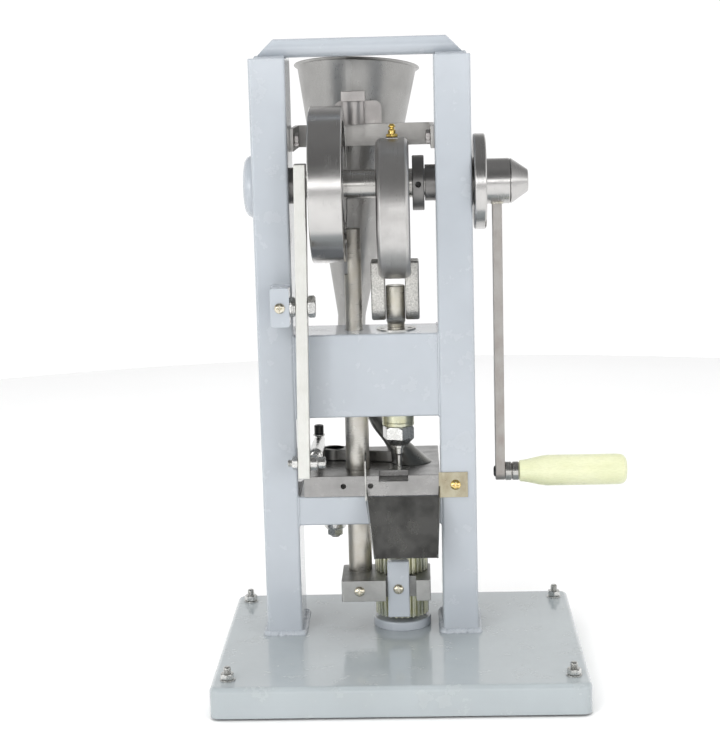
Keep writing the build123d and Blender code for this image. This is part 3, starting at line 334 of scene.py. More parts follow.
def ivory(name):
    """Moulded plastic: creamy, faintly translucent, with flow tone and fine handling scratches."""
    s = Shader(name, 0.3, Subsurface_Weight=0.18, Subsurface_Scale=0.004, Coat_Weight=0.25,
        Coat_Roughness=0.12)
    s.set("Subsurface Radius", (1.0, 0.85, 0.5))
    flow = s.noise(0.03, 3, 0.5, s.stretch(s.place, (0.5, 1.0, 1.0)))
    scratches = s.noise(0.5, 4, 0.65, s.stretch(s.place, (0.4, 3.0, 3.0)))
    tone = s.mix(s.remap(flow, 0.35, 0.65), (0.60, 0.62, 0.40), (0.67, 0.68, 0.48))
    tone = s.mix(s.remap(scratches, 0.62, 0.8, 0.0, 0.25), tone, (0.46, 0.45, 0.30))
    return s.wire(tone, s.remap(scratches, 0.4, 0.75, 0.24, 0.42), s.bump(scratches, 0.03, 0.3))


def floor_material():
    s = Shader("studio_floor", 0.55, Specular_IOR_Level=0.25)
    tone = s.mix(s.remap(s.noise(0.004, 3), 0.3, 0.7), (0.94, 0.94, 0.94), (0.96, 0.96, 0.96))
    return s.wire(tone, s.remap(s.noise(0.02, 3), 0.3, 0.7, 0.5, 0.62))


STEEL = (0.50, 0.49, 0.47)
BRIGHT = (0.58, 0.57, 0.56)
PAINT = (0.385, 0.415, 0.45)
BASE_PAINT = (0.345, 0.38, 0.395)
SHAFT_LINE = (PRESS_Y, SHAFT_Z)
PRESS_LINE = (PRESS_X, PRESS_Y)

M = {
    "enamel": enamel("blue_grey_enamel", PAINT),
    "base": enamel("base_enamel", BASE_PAINT, 0.22),
    "shaft": turned("turned_shaft", STEEL, "X", SHAFT_LINE, 0.2),
    "wheel": turned("turned_wheel", BRIGHT, "X", SHAFT_LINE, 0.17, 0.35),
    "strap": turned("turned_strap", BRIGHT, "X", (PRESS_Y, SHEAVE_Z), 0.3, 0.6, stain=0.45,
        mottle=0.5),
    "collar": turned("blued_collar", (0.23, 0.225, 0.22), "X", SHAFT_LINE, 0.3),
    "crank_pin": turned("turned_pin", STEEL, "X", (PRESS_Y, CRANK_Z), 0.22),
    "wrist": turned("turned_wrist_pin", STEEL, "X", (PRESS_Y, WRIST_Z), 0.25),
    "chrome": turned("chromed_rod", (0.58, 0.565, 0.52), "Z", PRESS_LINE, 0.27, 0.12,
        (0.46, 0.42, 0.28), 0.45, 0.85),
    "lift": turned("chromed_lift_rod", (0.54, 0.525, 0.49), "Z", (LIFT_X, PRESS_Y), 0.28, 0.12,
        (0.42, 0.37, 0.27), 0.45, 0.85),
    "punch": turned("punch_steel", (0.56, 0.555, 0.53), "Z", PRESS_LINE, 0.2),
    "link": turned("link_steel", (0.66, 0.655, 0.64), "Y", (LINK_X, LINK_Z), 0.22),
    "table": ground("ground_table", (0.335, 0.33, 0.325), (0.3, 5.0, 5.0), 0.25, 0.4, 0.55),
    "fork": ground("ground_fork", (0.40, 0.40, 0.39), (0.5, 4.0, 4.0), 0.38, 0.45, 0.5),
    "bar": ground("drawn_bar", (0.48, 0.47, 0.455), (0.3, 5.0, 5.0), 0.34, 0.4, 0.4),
    "arm": ground("drawn_crank_arm", (0.40, 0.385, 0.37), (5.0, 5.0, 0.25), 0.36, 0.6, 0.5,
        tint=(0.27, 0.22, 0.19)),
    "lever": ground("zinc_lever", (0.72, 0.72, 0.69), (5.0, 5.0, 0.3), 0.34, 0.35, 0.25, 0.2,
        tint=(0.52, 0.53, 0.46)),
    "hopper": ground("brushed_hopper", (0.40, 0.395, 0.385), (5.0, 5.0, 0.3), 0.27, 0.25, 0.25, 0.3),
    "shoe": ground("brushed_shoe", (0.33, 0.328, 0.31), (2.0, 2.0, 2.0), 0.26, 0.3, 0.5),
    "chute": sheet("dark_chute"),
    "shoe_arm": ground("dark_shoe_arm", (0.27, 0.265, 0.255), (2.0, 2.0, 2.0), 0.3, 0.3, 0.5),
    "clamp": ground("clamp_steel", (0.45, 0.43, 0.42), (4.0, 4.0, 0.5), 0.3, 0.3, 0.3),
    "cast": cast("bright_casting", (0.66, 0.65, 0.62)),
    "gear": plated("olive_zinc", (0.56, 0.58, 0.49), (0.58, 0.57, 0.40), 0.3),
    "warm_zinc": plated("warm_zinc", (0.72, 0.68, 0.56), (0.62, 0.55, 0.40), 0.22, 0.3),
    "zinc": plated("bright_zinc", (0.66, 0.66, 0.65), (0.55, 0.55, 0.53), 0.25),
    "yellow": plated("yellow_zinc", (0.55, 0.50, 0.34), (0.50, 0.47, 0.42), 0.28, 0.15),
    "brass": plated("nipple_brass", (0.83, 0.62, 0.20), (0.78, 0.55, 0.15), 0.2),
    "black": plated("black_oxide", (0.035, 0.035, 0.036), (0.06, 0.058, 0.055), 0.35),
    "rubber": rubber("black_rubber"),
    "ivory": ivory("ivory_plastic"),
}


# ---- mesh helpers
def add_piece(name, bm, material, body, replaces=(), bevel=0.0, segments=3, angle=35.0):
    """Turns a bmesh in millimetres into a piece that rides on a body."""
    bmesh.ops.remove_doubles(bm, verts=bm.verts, dist=1e-4)
    bmesh.ops.recalc_face_normals(bm, faces=bm.faces)
    mesh = bpy.data.meshes.new(name)
    bm.to_mesh(mesh)
    bm.free()
    mesh.transform(Matrix.Scale(MM, 4))
    mesh.shade_smooth()
    if not bevel:
        mesh.set_sharp_from_angle(angle=radians(angle))
    mesh.materials.append(M[material])
    piece = bpy.data.objects.new(name, mesh)
    bpy.context.scene.collection.objects.link(piece)
    if bevel:
        edge = piece.modifiers.new("edge", "BEVEL")
        edge.width = bevel * MM
        edge.segments = segments
        edge.limit_method = "ANGLE"
        edge.angle_limit = radians(angle)
        flat = piece.modifiers.new("flat", "WEIGHTED_NORMAL")
        flat.weight = 90
    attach(piece, body)
    if replaces:
        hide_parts(*replaces)
    return piece


def axis_frame(axis, origin=(0, 0, 0)):
    """Matrix whose local Z runs along an axis, by name or as a direction."""
    turns = {"X": Matrix(((0, 0, 1), (1, 0, 0), (0, 1, 0))),
        "Y": Matrix(((0, 1, 0), (0, 0, 1), (1, 0, 0))),
        "Z": Matrix.Identity(3)}
    turn = turns[axis] if isinstance(axis, str) else Vector(axis).to_track_quat("Z", "Y").to_matrix()
    return Matrix.Translation(origin) @ turn.to_4x4()


def hex_radius(across_flats, angle):
    sector = (angle + pi / 6) % (pi / 3) - pi / 6
    return across_flats / 2 / cos(sector)


def lathe(bm, profile, axis="Z", origin=(0, 0, 0), closed=False, segments=ROUND, turn=0.0):
    """Adds a turned body. Profile points are (along, radius) or (along, radius, across flats).

    An open profile is capped: each end that is off the axis is joined straight to it.
    """
    place = axis_frame(axis, origin)
    if not closed:
        first, last = ([(end[0], 0.0)] if end[1] else [] for end in (profile[0], profile[-1]))
        profile = first + profile + last
    rings = []
    for along, radius, *flats in profile:
        if radius < 1e-6:
            rings.append([bm.verts.new(place @ Vector((0, 0, along)))])
            continue
        ring = []
        for i in range(segments):
            angle = 2 * pi * i / segments
            reach = min(radius, hex_radius(flats[0], angle)) if flats else radius
            spot = Vector((reach * cos(angle + turn), reach * sin(angle + turn), along))
            ring.append(bm.verts.new(place @ spot))
        rings.append(ring)
    pairs = list(zip(rings, rings[1:]))
    if closed:
        pairs.append((rings[-1], rings[0]))
    for a, b in pairs:
        if len(a) == 1 and len(b) == 1:
            continue
        for i in range(segments):
            j = (i + 1) % segments
            corners = [a[i % len(a)], a[j % len(a)], b[j % len(b)], b[i % len(b)]]
            face = list(dict.fromkeys(corners))
            bm.faces.new(face)
    return bm


def spun(profile, axis="Z", origin=(0, 0, 0), closed=False, segments=ROUND, turn=0.0):
    return lathe(bmesh.new(), profile, axis, origin, closed, segments, turn)


def solid(start, end, radius):
    """Profile of a plain bar."""
    return [(start, radius), (end, radius)]


def hollow(start, end, hole, radius):
    """Profile of a plain ring, for a closed turned body."""
    return [(start, hole), (start, radius), (end, radius), (end, hole)]


def turned_piece(name, profile, material, body, node, line, closed=False, bevel=0.3):
    """A turned piece that takes the place of one CAD node."""
    return add_piece(name, spun(profile, *line, closed), material, body, (node,), bevel)


def block(bm, low, high):
    """Adds a box between two corners."""
    size = Vector(high) - Vector(low)
    middle = (Vector(high) + Vector(low)) / 2
    place = Matrix.Translation(middle) @ Matrix.Diagonal((*size, 1))
    bmesh.ops.create_cube(bm, size=1.0, matrix=place)
    return bm


def prism(bm, outline, axis, start, end):
    """Adds a flat outline, given in the two other directions, pushed along X, Y or Z."""
    def spot(a, b, c):
        return {"X": (c, a, b), "Y": (a, c, b), "Z": (a, b, c)}[axis]
    low = [bm.verts.new(spot(a, b, start)) for a, b in outline]
    high = [bm.verts.new(spot(a, b, end)) for a, b in outline]
    bm.faces.new(low)
    bm.faces.new(high)
    for i in range(len(low)):
        j = (i + 1) % len(low)
        bm.faces.new((low[i], low[j], high[j], high[i]))
    return bm


def arc(centre, radius, start, end, steps):
    return [(centre[0] + radius * cos(radians(start + (end - start) * i / steps)),
        centre[1] + radius * sin(radians(start + (end - start) * i / steps)))
        for i in range(steps + 1)]


def carve(bm, cutter):
    """Boolean difference of two bmeshes; returns a new bmesh."""
    things = []
    for source in (bm, cutter):
        bmesh.ops.recalc_face_normals(source, faces=source.faces)
        mesh = bpy.data.meshes.new("carve")
        source.to_mesh(mesh)
        source.free()
        thing = bpy.data.objects.new("carve", mesh)
        bpy.context.scene.collection.objects.link(thing)
        things.append(thing)
    body, tool = things
    boolean = body.modifiers.new("cut", "BOOLEAN")
    boolean.object = tool
    boolean.solver = "EXACT"
    result = bmesh.new()
    result.from_object(body, bpy.context.evaluated_depsgraph_get())
    for thing in things:
        mesh = thing.data
        bpy.data.objects.remove(thing)
        bpy.data.meshes.remove(mesh)
    return result


def tube(bm, path, radius, closed=False, sides=12):
    """Adds a round bar along points; radius may be a function of the point's number."""
    count = len(path)
    rings = []
    for i, spot in enumerate(path):
        before = path[i - 1] if closed or i else path[i]
        after = path[(i + 1) % count] if closed or i < count - 1 else path[i]
        ahead = (Vector(after) - Vector(before)).normalized()
        side = ahead.cross(Vector((0, 0, 1)))
        side = side.normalized() if side.length > 0.1 else Vector((1, 0, 0))
        rise = side.cross(ahead)
        reach = radius(i) if callable(radius) else radius
        rings.append([bm.verts.new(Vector(spot) + side * reach * cos(2 * pi * k / sides)
            + rise * reach * sin(2 * pi * k / sides))
            for k in range(sides)])
    for i in range(count if closed else count - 1):
        a, b = rings[i], rings[(i + 1) % count]
        for k in range(sides):
            n = (k + 1) % sides
            bm.faces.new((a[k], a[n], b[n], b[k]))
    if not closed:
        bm.faces.new(rings[0])
        bm.faces.new(rings[-1])
    return bm


def bead_path(corners, step, closed):
    """Points every step along straight runs between corners."""
    points = []
    runs = zip(corners, corners[1:] + corners[:1]) if closed else zip(corners, corners[1:])
    for a, b in runs:
        a, b = Vector(a), Vector(b)
        count = max(1, ceil((b - a).length / step))
        points += [a.lerp(b, i / count) for i in range(count)]
    if not closed:
        points.append(Vector(corners[-1]))
    return points


def weld(bm, corners, size, closed=False):
    """Adds a rippled weld bead along a line."""
    ripple = 2.6
    step = 0.65
    path = bead_path(corners, step, closed)
    wobble = [p + noise.noise_vector(p * 0.35) * size * 0.16 for p in path]

    def reach(i):
        wave = (i * step % ripple) / ripple
        return size * (0.86 + 0.2 * wave + 0.18 * noise.noise(path[i] * 0.22))
    return tube(bm, wobble, reach, closed, 10)


def refined(node, bevel, material, name, body, segments=2):
    """A new piece with a CAD node's shape, its flat faces merged and its edges eased."""
    bm = bmesh.new()
    bm.from_mesh(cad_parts[node].data)
    bmesh.ops.scale(bm, vec=(1 / MM,) * 3, verts=bm.verts)
    bmesh.ops.remove_doubles(bm, verts=bm.verts, dist=1e-3)
    bmesh.ops.dissolve_limit(bm, angle_limit=radians(0.6), verts=bm.verts, edges=bm.edges)
    return add_piece(name, bm, material, body, (node,), bevel, segments, 30.0)


def span(node, axis):
    """Where a CAD node starts and ends along X, Y or Z."""
    i = "XYZ".index(axis)
    low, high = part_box(node)
    return low[i] / MM, high[i] / MM


def middle_of(node):
    """Centre of a CAD node as seen from above."""
    return [sum(span(node, axis)) / 2 for axis in "XY"]


# ---- fasteners
def thread(start, end, radius, pitch):
    """Profile points of a screw thread's crests and roots."""
    root = radius - pitch * 0.45
    points = []
    for i in range(int((end - start) / pitch)):
        low = start + i * pitch
        points += [(low, root), (low + pitch * 0.45, radius), (low + pitch * 0.6, radius)]
    return points


def nut_profile(low, high, flats, hole=None):
    """Profile of a hexagon nut with both faces chamfered."""
    corner = flats / 2 / cos(pi / 6)
    ease = (corner - flats / 2) * 0.75
    outer = [(low, flats / 2 - 0.2, flats), (low + ease, corner, flats),
        (high - ease, corner, flats), (high, flats / 2 - 0.2, flats)]
    return outer if hole is None else [(low, hole)] + outer + [(high, hole)]


def pan_screw(name, place, body, replaces=(), material="warm_zinc"):
    """Cross-recess pan head seen from the front, on a face that looks along -Y."""
    x, face, z = place
    head = spun([(face, 4.3), (face - 1.0, 4.25), (face - 1.8, 3.6),
        (face - 2.35, 2.2), (face - 2.45, 0.0)], "Y", (x, 0, z), segments=48)
    long, short = 2.6, 0.55
    for wide, tall in ((long, short), (short, long)):
        corners = [(x - wide, z - tall), (x + wide, z - tall), (x + wide, z + tall), (x - wide, z + tall)]
        head = carve(head, prism(bmesh.new(), corners, "Y", face - 3, face - 1.1))
    return add_piece(name, head, material, body, replaces, 0.12, 2)


def washer(bm, low, high, radius, hole, axis, origin):
    return lathe(bm, hollow(low, high, hole, radius), axis, origin, True, 64)


def hex_socket(low, high, axis, origin):
    """Cutter for the wrench socket in a bolt's head."""
    return spun([(low, 3.0, 4.0), (high, 3.0, 4.0)], axis, origin, segments=48)


# ---- base and welded frame
def make_base():
    feet = bmesh.new()
    studs, nuts, washers = bmesh.new(), bmesh.new(), bmesh.new()
    for x, y in FEET:
        spot = (x, y, 0)
        pad = [(0.0, 8.6), (0.9, 9.5), (7.6, 9.5), (8.4, 8.9), (9.2, 9.5), (23.4, 9.5)]
        stud = [(26.0, 2.6)] + thread(27.0, 37.0, 3.0, 1.0) + [(37.4, 2.6), (38.0, 1.9)]
        lathe(feet, pad, "Z", spot, segments=64)
        lathe(studs, stud, "Z", spot, segments=48)
        lathe(nuts, nut_profile(27.7, 32.7, 10.0, 2.9), "Z", spot, True, 72, radians(x + y))
        washer(washers, 26.5, 27.7, 6.2, 3.0, "Z", spot)
    add_piece("foot_pads", feet, "rubber", "frame", ("rubber_feet",), 0.4)
    add_piece("foot_studs", studs, "zinc", "frame", ("foot_hardware",))
    add_piece("foot_nuts", nuts, "zinc", "frame", bevel=0.15)
    add_piece("foot_washers", washers, "zinc", "frame", bevel=0.2)
    boss = spun([(26.5, 9.4), (26.5, 24.8), (32.6, 24.8), (33.6, 24.3), (34.0, 23.3),
        (34.0, 9.4)], *PRESS_AXIS, True)
    add_piece("gear_seat_ring", boss, "enamel", "frame", ("base_boss",), 0.25)


def make_handle():
    """Round bar with mitred, capped ends."""
    radius, middle, top = 8.0, 518.8, 526.8
    left, right = -110.0, 62.0
    bar = spun(solid(left, right, radius), "X", (0, PRESS_Y, middle))
    drop, over, under = top - COLUMN_TOP, top + 0.01, COLUMN_TOP - 20
    for x, side in ((left + drop, -1), (right - drop, 1)):
        beyond = x + side * 60
        corner = [(x, over), (beyond, over), (beyond, under), (x + side * (drop + 20), under)]
        bar = carve(bar, prism(bmesh.new(), corner, "Y", 0.0, 80.0))
    bar = carve(bar, block(bmesh.new(), (-150, 0, 480), (150, 80, COLUMN_TOP)))
    add_piece("hand_bar", bar, "enamel", "frame", ("top_handle",), 0.6)


def make_welds():
    beads = bmesh.new()
    foot, head = BASE_TOP + 0.6, COLUMN_TOP + 0.4
    for left, right in COLUMNS:
        ring = [(left, COLUMN_FRONT), (right, COLUMN_FRONT), (right, COLUMN_BACK), (left, COLUMN_BACK)]
        weld(beads, [(x, y, foot) for x, y in ring], 3.4, True)
    front, back = MEMBER_FRONT, MEMBER_BACK
    for low, high in (MIDDLE_MEMBER, LOWER_MEMBER):
        for x in (COLUMNS[0][1], COLUMNS[1][0]):
            for y in (front, back):
                weld(beads, [(x, y, low), (x, y, high)], 1.0)
            for z in (high, low):
                weld(beads, [(x, front, z), (x, back, z)], 1.1)
    for start, end in ((-109.0, -85.5), (37.5, 61.0)):
        for y in (PRESS_Y - 4.6, PRESS_Y + 4.6):
            weld(beads, [(start, y, head), (end, y, head)], 1.9)
    for x in (-109.6, 61.6):
        weld(beads, [(x, PRESS_Y - 4.8, head), (x, PRESS_Y + 4.8, head)], 1.9)
    left, right, front = -100.3, -84.9, 6.8
    low, high = 295.0, 327.0
    for x in (left, right):
        weld(beads, [(x, front, low), (x, front, high)], 1.3)
    weld(beads, [(left, front, high), (right, front, high)], 1.3)
    add_piece("weld_beads", beads, "enamel", "frame", angle=60)


def make_frame_details():
    dome = [(-122.4, 17.5), (-121.6, 21.4), (-119.6, 24.3), (-116.8, 25.7), (-114.0, 25.8)]
    turned_piece("bearing_dome", dome, "enamel", "frame", "left_bearing_cap", SHAFT_AXIS)
    low, ledge, high = MIDDLE_MEMBER[0], 262.0, MIDDLE_MEMBER[1] + 1.0
    wide, narrow, outer = 14.26, 7.06, 16.5
    bush = spun([(low, wide), (low, outer), (high, outer), (high, narrow), (ledge, narrow),
        (ledge, wide)], *PRESS_AXIS, True)
    holes = bmesh.new()
    for x in (PRESS_X - 11.6, PRESS_X + 11.6):
        lathe(holes, solid(281.0, 290.0, 1.9), "Z", (x, PRESS_Y - 2.5, 0), segments=HOLE_SEGMENTS)
    bush = carve(bush, holes)
    add_piece("guide_bush_flanged", bush, "punch", "frame", ("guide_bush",), 0.3)
    sleeve = hollow(low, low + 36.0, 10.06, 13.0)
    turned_piece("lift_bush", sleeve, "lift", "frame", "lift_rod_bush", LIFT_AXIS, True)
    bushes = bmesh.new()
    lathe(bushes, hollow(-114.0, -75.5, 12.06, 15.0), *SHAFT_AXIS, True)
    flanged = [(27.5, 12.06), (27.5, 15.0), (66.0, 15.0), (66.0, 20.0), (67.3, 20.0), (67.3, 12.06)]
    lathe(bushes, flanged, *SHAFT_AXIS, True)
    add_piece("plain_bearings", bushes, "collar", "frame", ("shaft_bushes",), 0.4)
    bolts = bmesh.new()
    for x in (-70.0, 25.0):
        head = nut_profile(LOWER_MEMBER[0] - 4.0, LOWER_MEMBER[0], FRAME_BOLT_FLATS)
        lathe(bolts, head, "Z", (x, 50.0, 0), segments=72)
    for low, high in ((-81.0, -77.0), (29.0, 33.0)):
        lathe(bolts, nut_profile(low, high, FRAME_BOLT_FLATS), "X", (0, 52.0, 444.0), segments=72)
    add_piece("frame_bolt_heads", bolts, "clamp", "frame", ("frame_bolts",), 0.15)
    refined("lever_bracket", 0.8, "enamel", "pivot_block", "frame", 3)
    refined("hopper_bracket", 0.5, "bar", "hopper_bar", "frame")
    refined("die_table", 0.45, "table", "work_table", "frame")
    refined("chute", 0.22, "chute", "discharge_chute", "frame")
    low, high = LOWER_MEMBER[1], TABLE_TOP
    die = [(low, 2.5), (low, 9.0), (high, 9.0), (high, 3.1), (high - 0.5, 2.5)]
    turned_piece("die_insert", die, "punch", "frame", "die", PRESS_AXIS, True)
    pan_screw("bracket_lock_screw", (-92.6, -17.0, LEVER_Z), "frame", ("phillips_screws",))
    pan_screw("chute_ear_screw", (48.25, 5.8, 155.75), "frame", material="brass")
    left, right = span("lever_pivot_bolt", "X")
    pivot = spun(nut_profile(right - 6.0, right, 16.0), *LEVER_AXIS, segments=72)
    lathe(pivot, solid(left, right - 6.0, 5.0), *LEVER_AXIS)
    add_piece("pivot_bolt", pivot, "zinc", "frame", ("lever_pivot_bolt",), 0.3)
    stack = bmesh.new()
    lathe(stack, nut_profile(-84.7, -82.4, 15.6, 5.2), *LEVER_AXIS, True, 72)
    washer(stack, -82.3, -81.2, 8.4, 5.2, *LEVER_AXIS)
    washer(stack, -81.1, -80.0, 7.6, 5.2, *LEVER_AXIS)
    add_piece("pivot_nut_stack", stack, "zinc", "frame", bevel=0.2)


# ---- hopper
SPOUT = Vector((-41.5, 126.7, 240.0))
RIM = Vector((-31.0, 168.3, 503.0))


def make_hopper():
    """Rolled sheet cone with a wired rim, a lapped seam at the front and a straight spout."""
    lean = (RIM - SPOUT).normalized()
    length = (RIM - SPOUT).length
    start = length * 44.0 / 263.0
    wall = 1.2
    outer = [(0.0, 12.4), (start - 1.5, 12.4), (start + 2.0, 12.9)]
    steps = 24
    for i in range(1, steps + 1):
        share = i / steps
        outer.append((start + 2.0 + (length - start - 4.0) * share, 12.9 + 40.2 * share))
    inner = [(z, r - wall) for z, r in reversed(outer)]
    rolled = ((2.6, 53.0), (1.9, 55.0), (1.0, 56.2), (0.4, 55.9), (0.0, 54.4), (0.1, 52.8), (1.2, 51.9))
    rim = [(length - below, radius) for below, radius in rolled]
    body = spun(outer[:-1] + rim + inner[1:], lean, SPOUT, True, 128)
    add_piece("hopper_cone", body, "hopper", "frame", ("hopper",), angle=50)
    place = axis_frame(lean, SPOUT)
    seam = bmesh.new()
    towards = place.to_3x3().inverted() @ Vector((-0.10, -1.0, 0.0))
    facing = atan2(towards.y, towards.x)
    half = 2.6
    rows = []
    for i in range(steps + 1):
        share = i / steps
        along = start + 4.0 + (length - start - 7.5) * share
        radius = 12.9 + 40.2 * (along - start - 2.0) / (length - start - 4.0)
        row = []
        for offset, lift in ((-half, 0.0), (-half, 0.32), (half, 0.5), (half, 0.0)):
            turn = facing + offset / radius
            reach = radius + lift
            row.append(seam.verts.new(place @ Vector((reach * cos(turn), reach * sin(turn), along))))
        rows.append(row)
    for a, b in zip(rows, rows[1:]):
        for k in range(4):
            n = (k + 1) % 4
            seam.faces.new((a[k], a[n], b[n], b[k]))
    seam.faces.new(rows[0])
    seam.faces.new(rows[-1])
    add_piece("hopper_seam", seam, "hopper", "frame")
    pin = [(453.5, 8.2), (454.4, 9.0), (455.4, 9.3), (472.4, 9.3), (473.4, 8.6)]
    clamp = spun(pin, "Z", (-32.5, 103.0, 0))
    add_piece("clamp_pin", clamp, "clamp", "frame", bevel=0.2)
    refined("hopper_clamp", 0.5, "clamp", "hopper_saddle", "frame")


# ---- crank shaft
def on_shaft(name, profile, material, node, closed=False):
    turned_piece(name, profile, material, "crank", node, SHAFT_AXIS, closed, 0.35)


def make_crank_shaft():
    shaft = [(-113.5, 11.4), (-112.9, SHAFT_RADIUS), (103.4, SHAFT_RADIUS), (104.0, 11.4)]
    on_shaft("main_shaft_bar", shaft, "shaft", "main_shaft")
    left, right, groove, rim = -66.8, -39.2, 7, WHEEL_RADIUS
    on_shaft("cam_disc", [(left, SHAFT_BORE), (left, 41.6), (left + groove, 41.6), (left + groove, 58.2),
        (left, 58.2), (left, rim - 0.8), (left + 0.8, rim), (right - 0.8, rim), (right, rim - 0.8),
        (right, 53.1), (right - groove, 53.1), (right - groove, 31.5), (right, 31.5),
        (right, SHAFT_BORE)], "wheel", "cam_wheel", True)
    sheave = [(-9.5, 43.4), (-8.9, 44.0), (10.9, 44.0), (11.5, 43.4)]
    turned_piece("eccentric_disc", sheave, "strap", "crank", "eccentric_sheave", SHEAVE_AXIS)
    collar = spun([(17.1, SHAFT_BORE), (17.1, 22.2), (17.7, 22.8), (26.3, 22.8), (26.9, 22.2),
        (26.9, SHAFT_BORE)], *SHAFT_AXIS, True)
    screw_axis = ("Y", (22.0, 0, SHAFT_Z))
    hole = spun(solid(PRESS_Y - 30, PRESS_Y - 13, 2.5), *screw_axis, segments=HOLE_SEGMENTS)
    collar = carve(collar, hole)
    add_piece("shaft_collar_ring", collar, "collar", "crank", ("shaft_collar",), 0.3)
    screw = spun(solid(22.0, 24.0, 2.3), *screw_axis, segments=HOLE_SEGMENTS)
    add_piece("collar_set_screw", screw, "black", "crank", bevel=0.15)
    on_shaft("flange_plate", [(67.8, SHAFT_BORE), (67.8, 38.6), (68.8, 39.6), (76.6, 39.6),
        (77.8, 38.4), (77.8, SHAFT_BORE)], "wheel", "flange_disc", True)
    on_shaft("crank_boss", [(77.8, SHAFT_BORE), (77.8, 18.8), (97.1, 18.8), (97.7, 18.3),
        (97.7, SHAFT_BORE)], "wheel", "crank_hub", True)
    nose = [(97.9, 18.2), (98.6, 18.8), (112.0, 9.6), (112.9, 8.6)]
    on_shaft("boss_nose", nose, "wheel", "hub_nose")
    half, top = 7.5, 389.3
    outline = arc((PRESS_Y, CRANK_Z), half, 180, 360, 24) + [(PRESS_Y + half, top), (PRESS_Y - half, top)]
    arm = prism(bmesh.new(), outline, "X", 83.0, 91.0)
    add_piece("crank_bar", arm, "arm", "crank", ("crank_arm",), 0.7)
    braze = bmesh.new()
    ring = [(82.9, -7.4), (82.9, 7.4), (91.1, 7.4), (91.1, -7.4)]
    weld(braze, [(x, PRESS_Y + y, 389.0) for x, y in ring], 1.2, True)
    add_piece("crank_braze", braze, "yellow", "crank", angle=60)
    rivet = spun([(81.4, 3.0), (82.0, 4.4), (83.0, 4.8)], *CRANK_AXIS, segments=48)
    add_piece("pin_rivet_head", rivet, "black", "crank", bevel=0.2)
    pin = [(83.0, 4.0), (91.1, 4.0), (91.1, 7.4), (91.7, 8.0), (96.1, 8.0), (96.7, 7.4), (96.7, 6.8),
        (97.2, 6.8), (97.2, 7.4), (97.8, 8.0), (102.2, 8.0), (102.8, 7.4), (102.8, 4.0), (150.0, 4.0)]
    turned_piece("grip_pin", pin, "crank_pin", "crank", "crank_pin", CRANK_AXIS, bevel=0.2)


def make_grip():
    """Moulded handle: neck bead, swelling shoulder, long barrel and rounded end."""
    left, right = span("crank_grip", "X")
    neck, shoulder, swell, steps = 1.2, 24.0, 3.95, 22
    profile = [(left + 70.0, 4.2), (left, 4.2), (left, 8.0), (left + 0.5, 8.9), (left + neck, 9.2)]
    for i in range(1, steps + 1):
        share = i / steps
        ease = share * share * (3 - 2 * share)
        blend = 0.35 * share + 0.65 * ease
        profile.append((left + neck + (shoulder - neck) * share, 9.2 + swell * blend))
    nose = 6.0
    profile += [(right - 9.0, 13.15), (right - nose, 12.9)]
    for angle in (0.25, 0.5, 0.75, 1.0, 1.25, 1.45, 1.57):
        profile.append((right - nose + nose * sin(angle), 6.9 + nose * cos(angle)))
    profile += [(right - 0.1, 4.4), (right - 1.4, 3.6), (right - 1.6, 0.0)]
    turned_piece("hand_grip", profile, "ivory", "grip", "crank_grip", CRANK_AXIS, bevel=0)


# ---- strap and plunger
def make_strap():
    ring = [(-12.5, STRAP_BORE), (-12.5, 55.3), (-11.4, 57.0), (-9.3, 58.5), (11.3, 58.5), (13.4, 57.0),
        (14.5, 55.3), (14.5, STRAP_BORE)]
    turned_piece("strap_ring", ring, "strap", "strap", "eccentric_strap", SHEAVE_AXIS, True,
        0.5)
    low, high = SHEAVE_Z + 50, SHEAVE_Z + 59.2
    boss = block(bmesh.new(), (PRESS_X - 5.4, PRESS_Y - 6.5, low), (PRESS_X + 5.4, PRESS_Y + 6.5, high))
    add_piece("strap_boss", boss, "strap", "strap", bevel=0.8)
    half, top = 12.0, 340.5
    reach = [11.0 - 22.0 * i / 12 for i in range(13)]
    seat = [(PRESS_Y + dy, SHEAVE_Z - sqrt(STRAP_BORE ** 2 - dy * dy)) for dy in reach]
    outline = arc((PRESS_Y, WRIST_Z), half, 180, 360, 28)
    outline += [(PRESS_Y + half, top)] + seat + [(PRESS_Y - half, top)]
    lugs, ends = bmesh.new(), bmesh.new()
    inner, outer, head = 8.3, 20.1, 9.0
    for side in (-1, 1):
        a, b = sorted((PRESS_X + side * inner, PRESS_X + side * outer))
        prism(lugs, outline, "X", a, b)
        a, b = sorted((PRESS_X + side * head, PRESS_X + side * outer))
        lathe(ends, solid(a, b, 5.0), *WRIST_AXIS, segments=64)
    add_piece("strap_lugs", lugs, "cast", "strap", bevel=1.6, segments=4)
    add_piece("wrist_pin_heads", ends, "wrist", "strap", ("wrist_pin_ends",), 0.3)
    base = SHEAVE_Z + 59.3
    nipple = spun(nut_profile(base, base + 2.6, 9.5), *PRESS_AXIS, segments=72)
    tip = ((2.0, 3.1), (5.4, 3.1), (6.4, 2.1), (7.6, 1.9), (8.4, 2.9), (9.6, 2.7), (10.9, 1.4), (10.9, 0.5),
        (10.4, 0.0))
    lathe(nipple, [(base + rise, radius) for rise, radius in tip], *PRESS_AXIS, segments=48)
    add_piece("grease_fitting", nipple, "brass", "strap", ("grease_nipple",), 0.15)


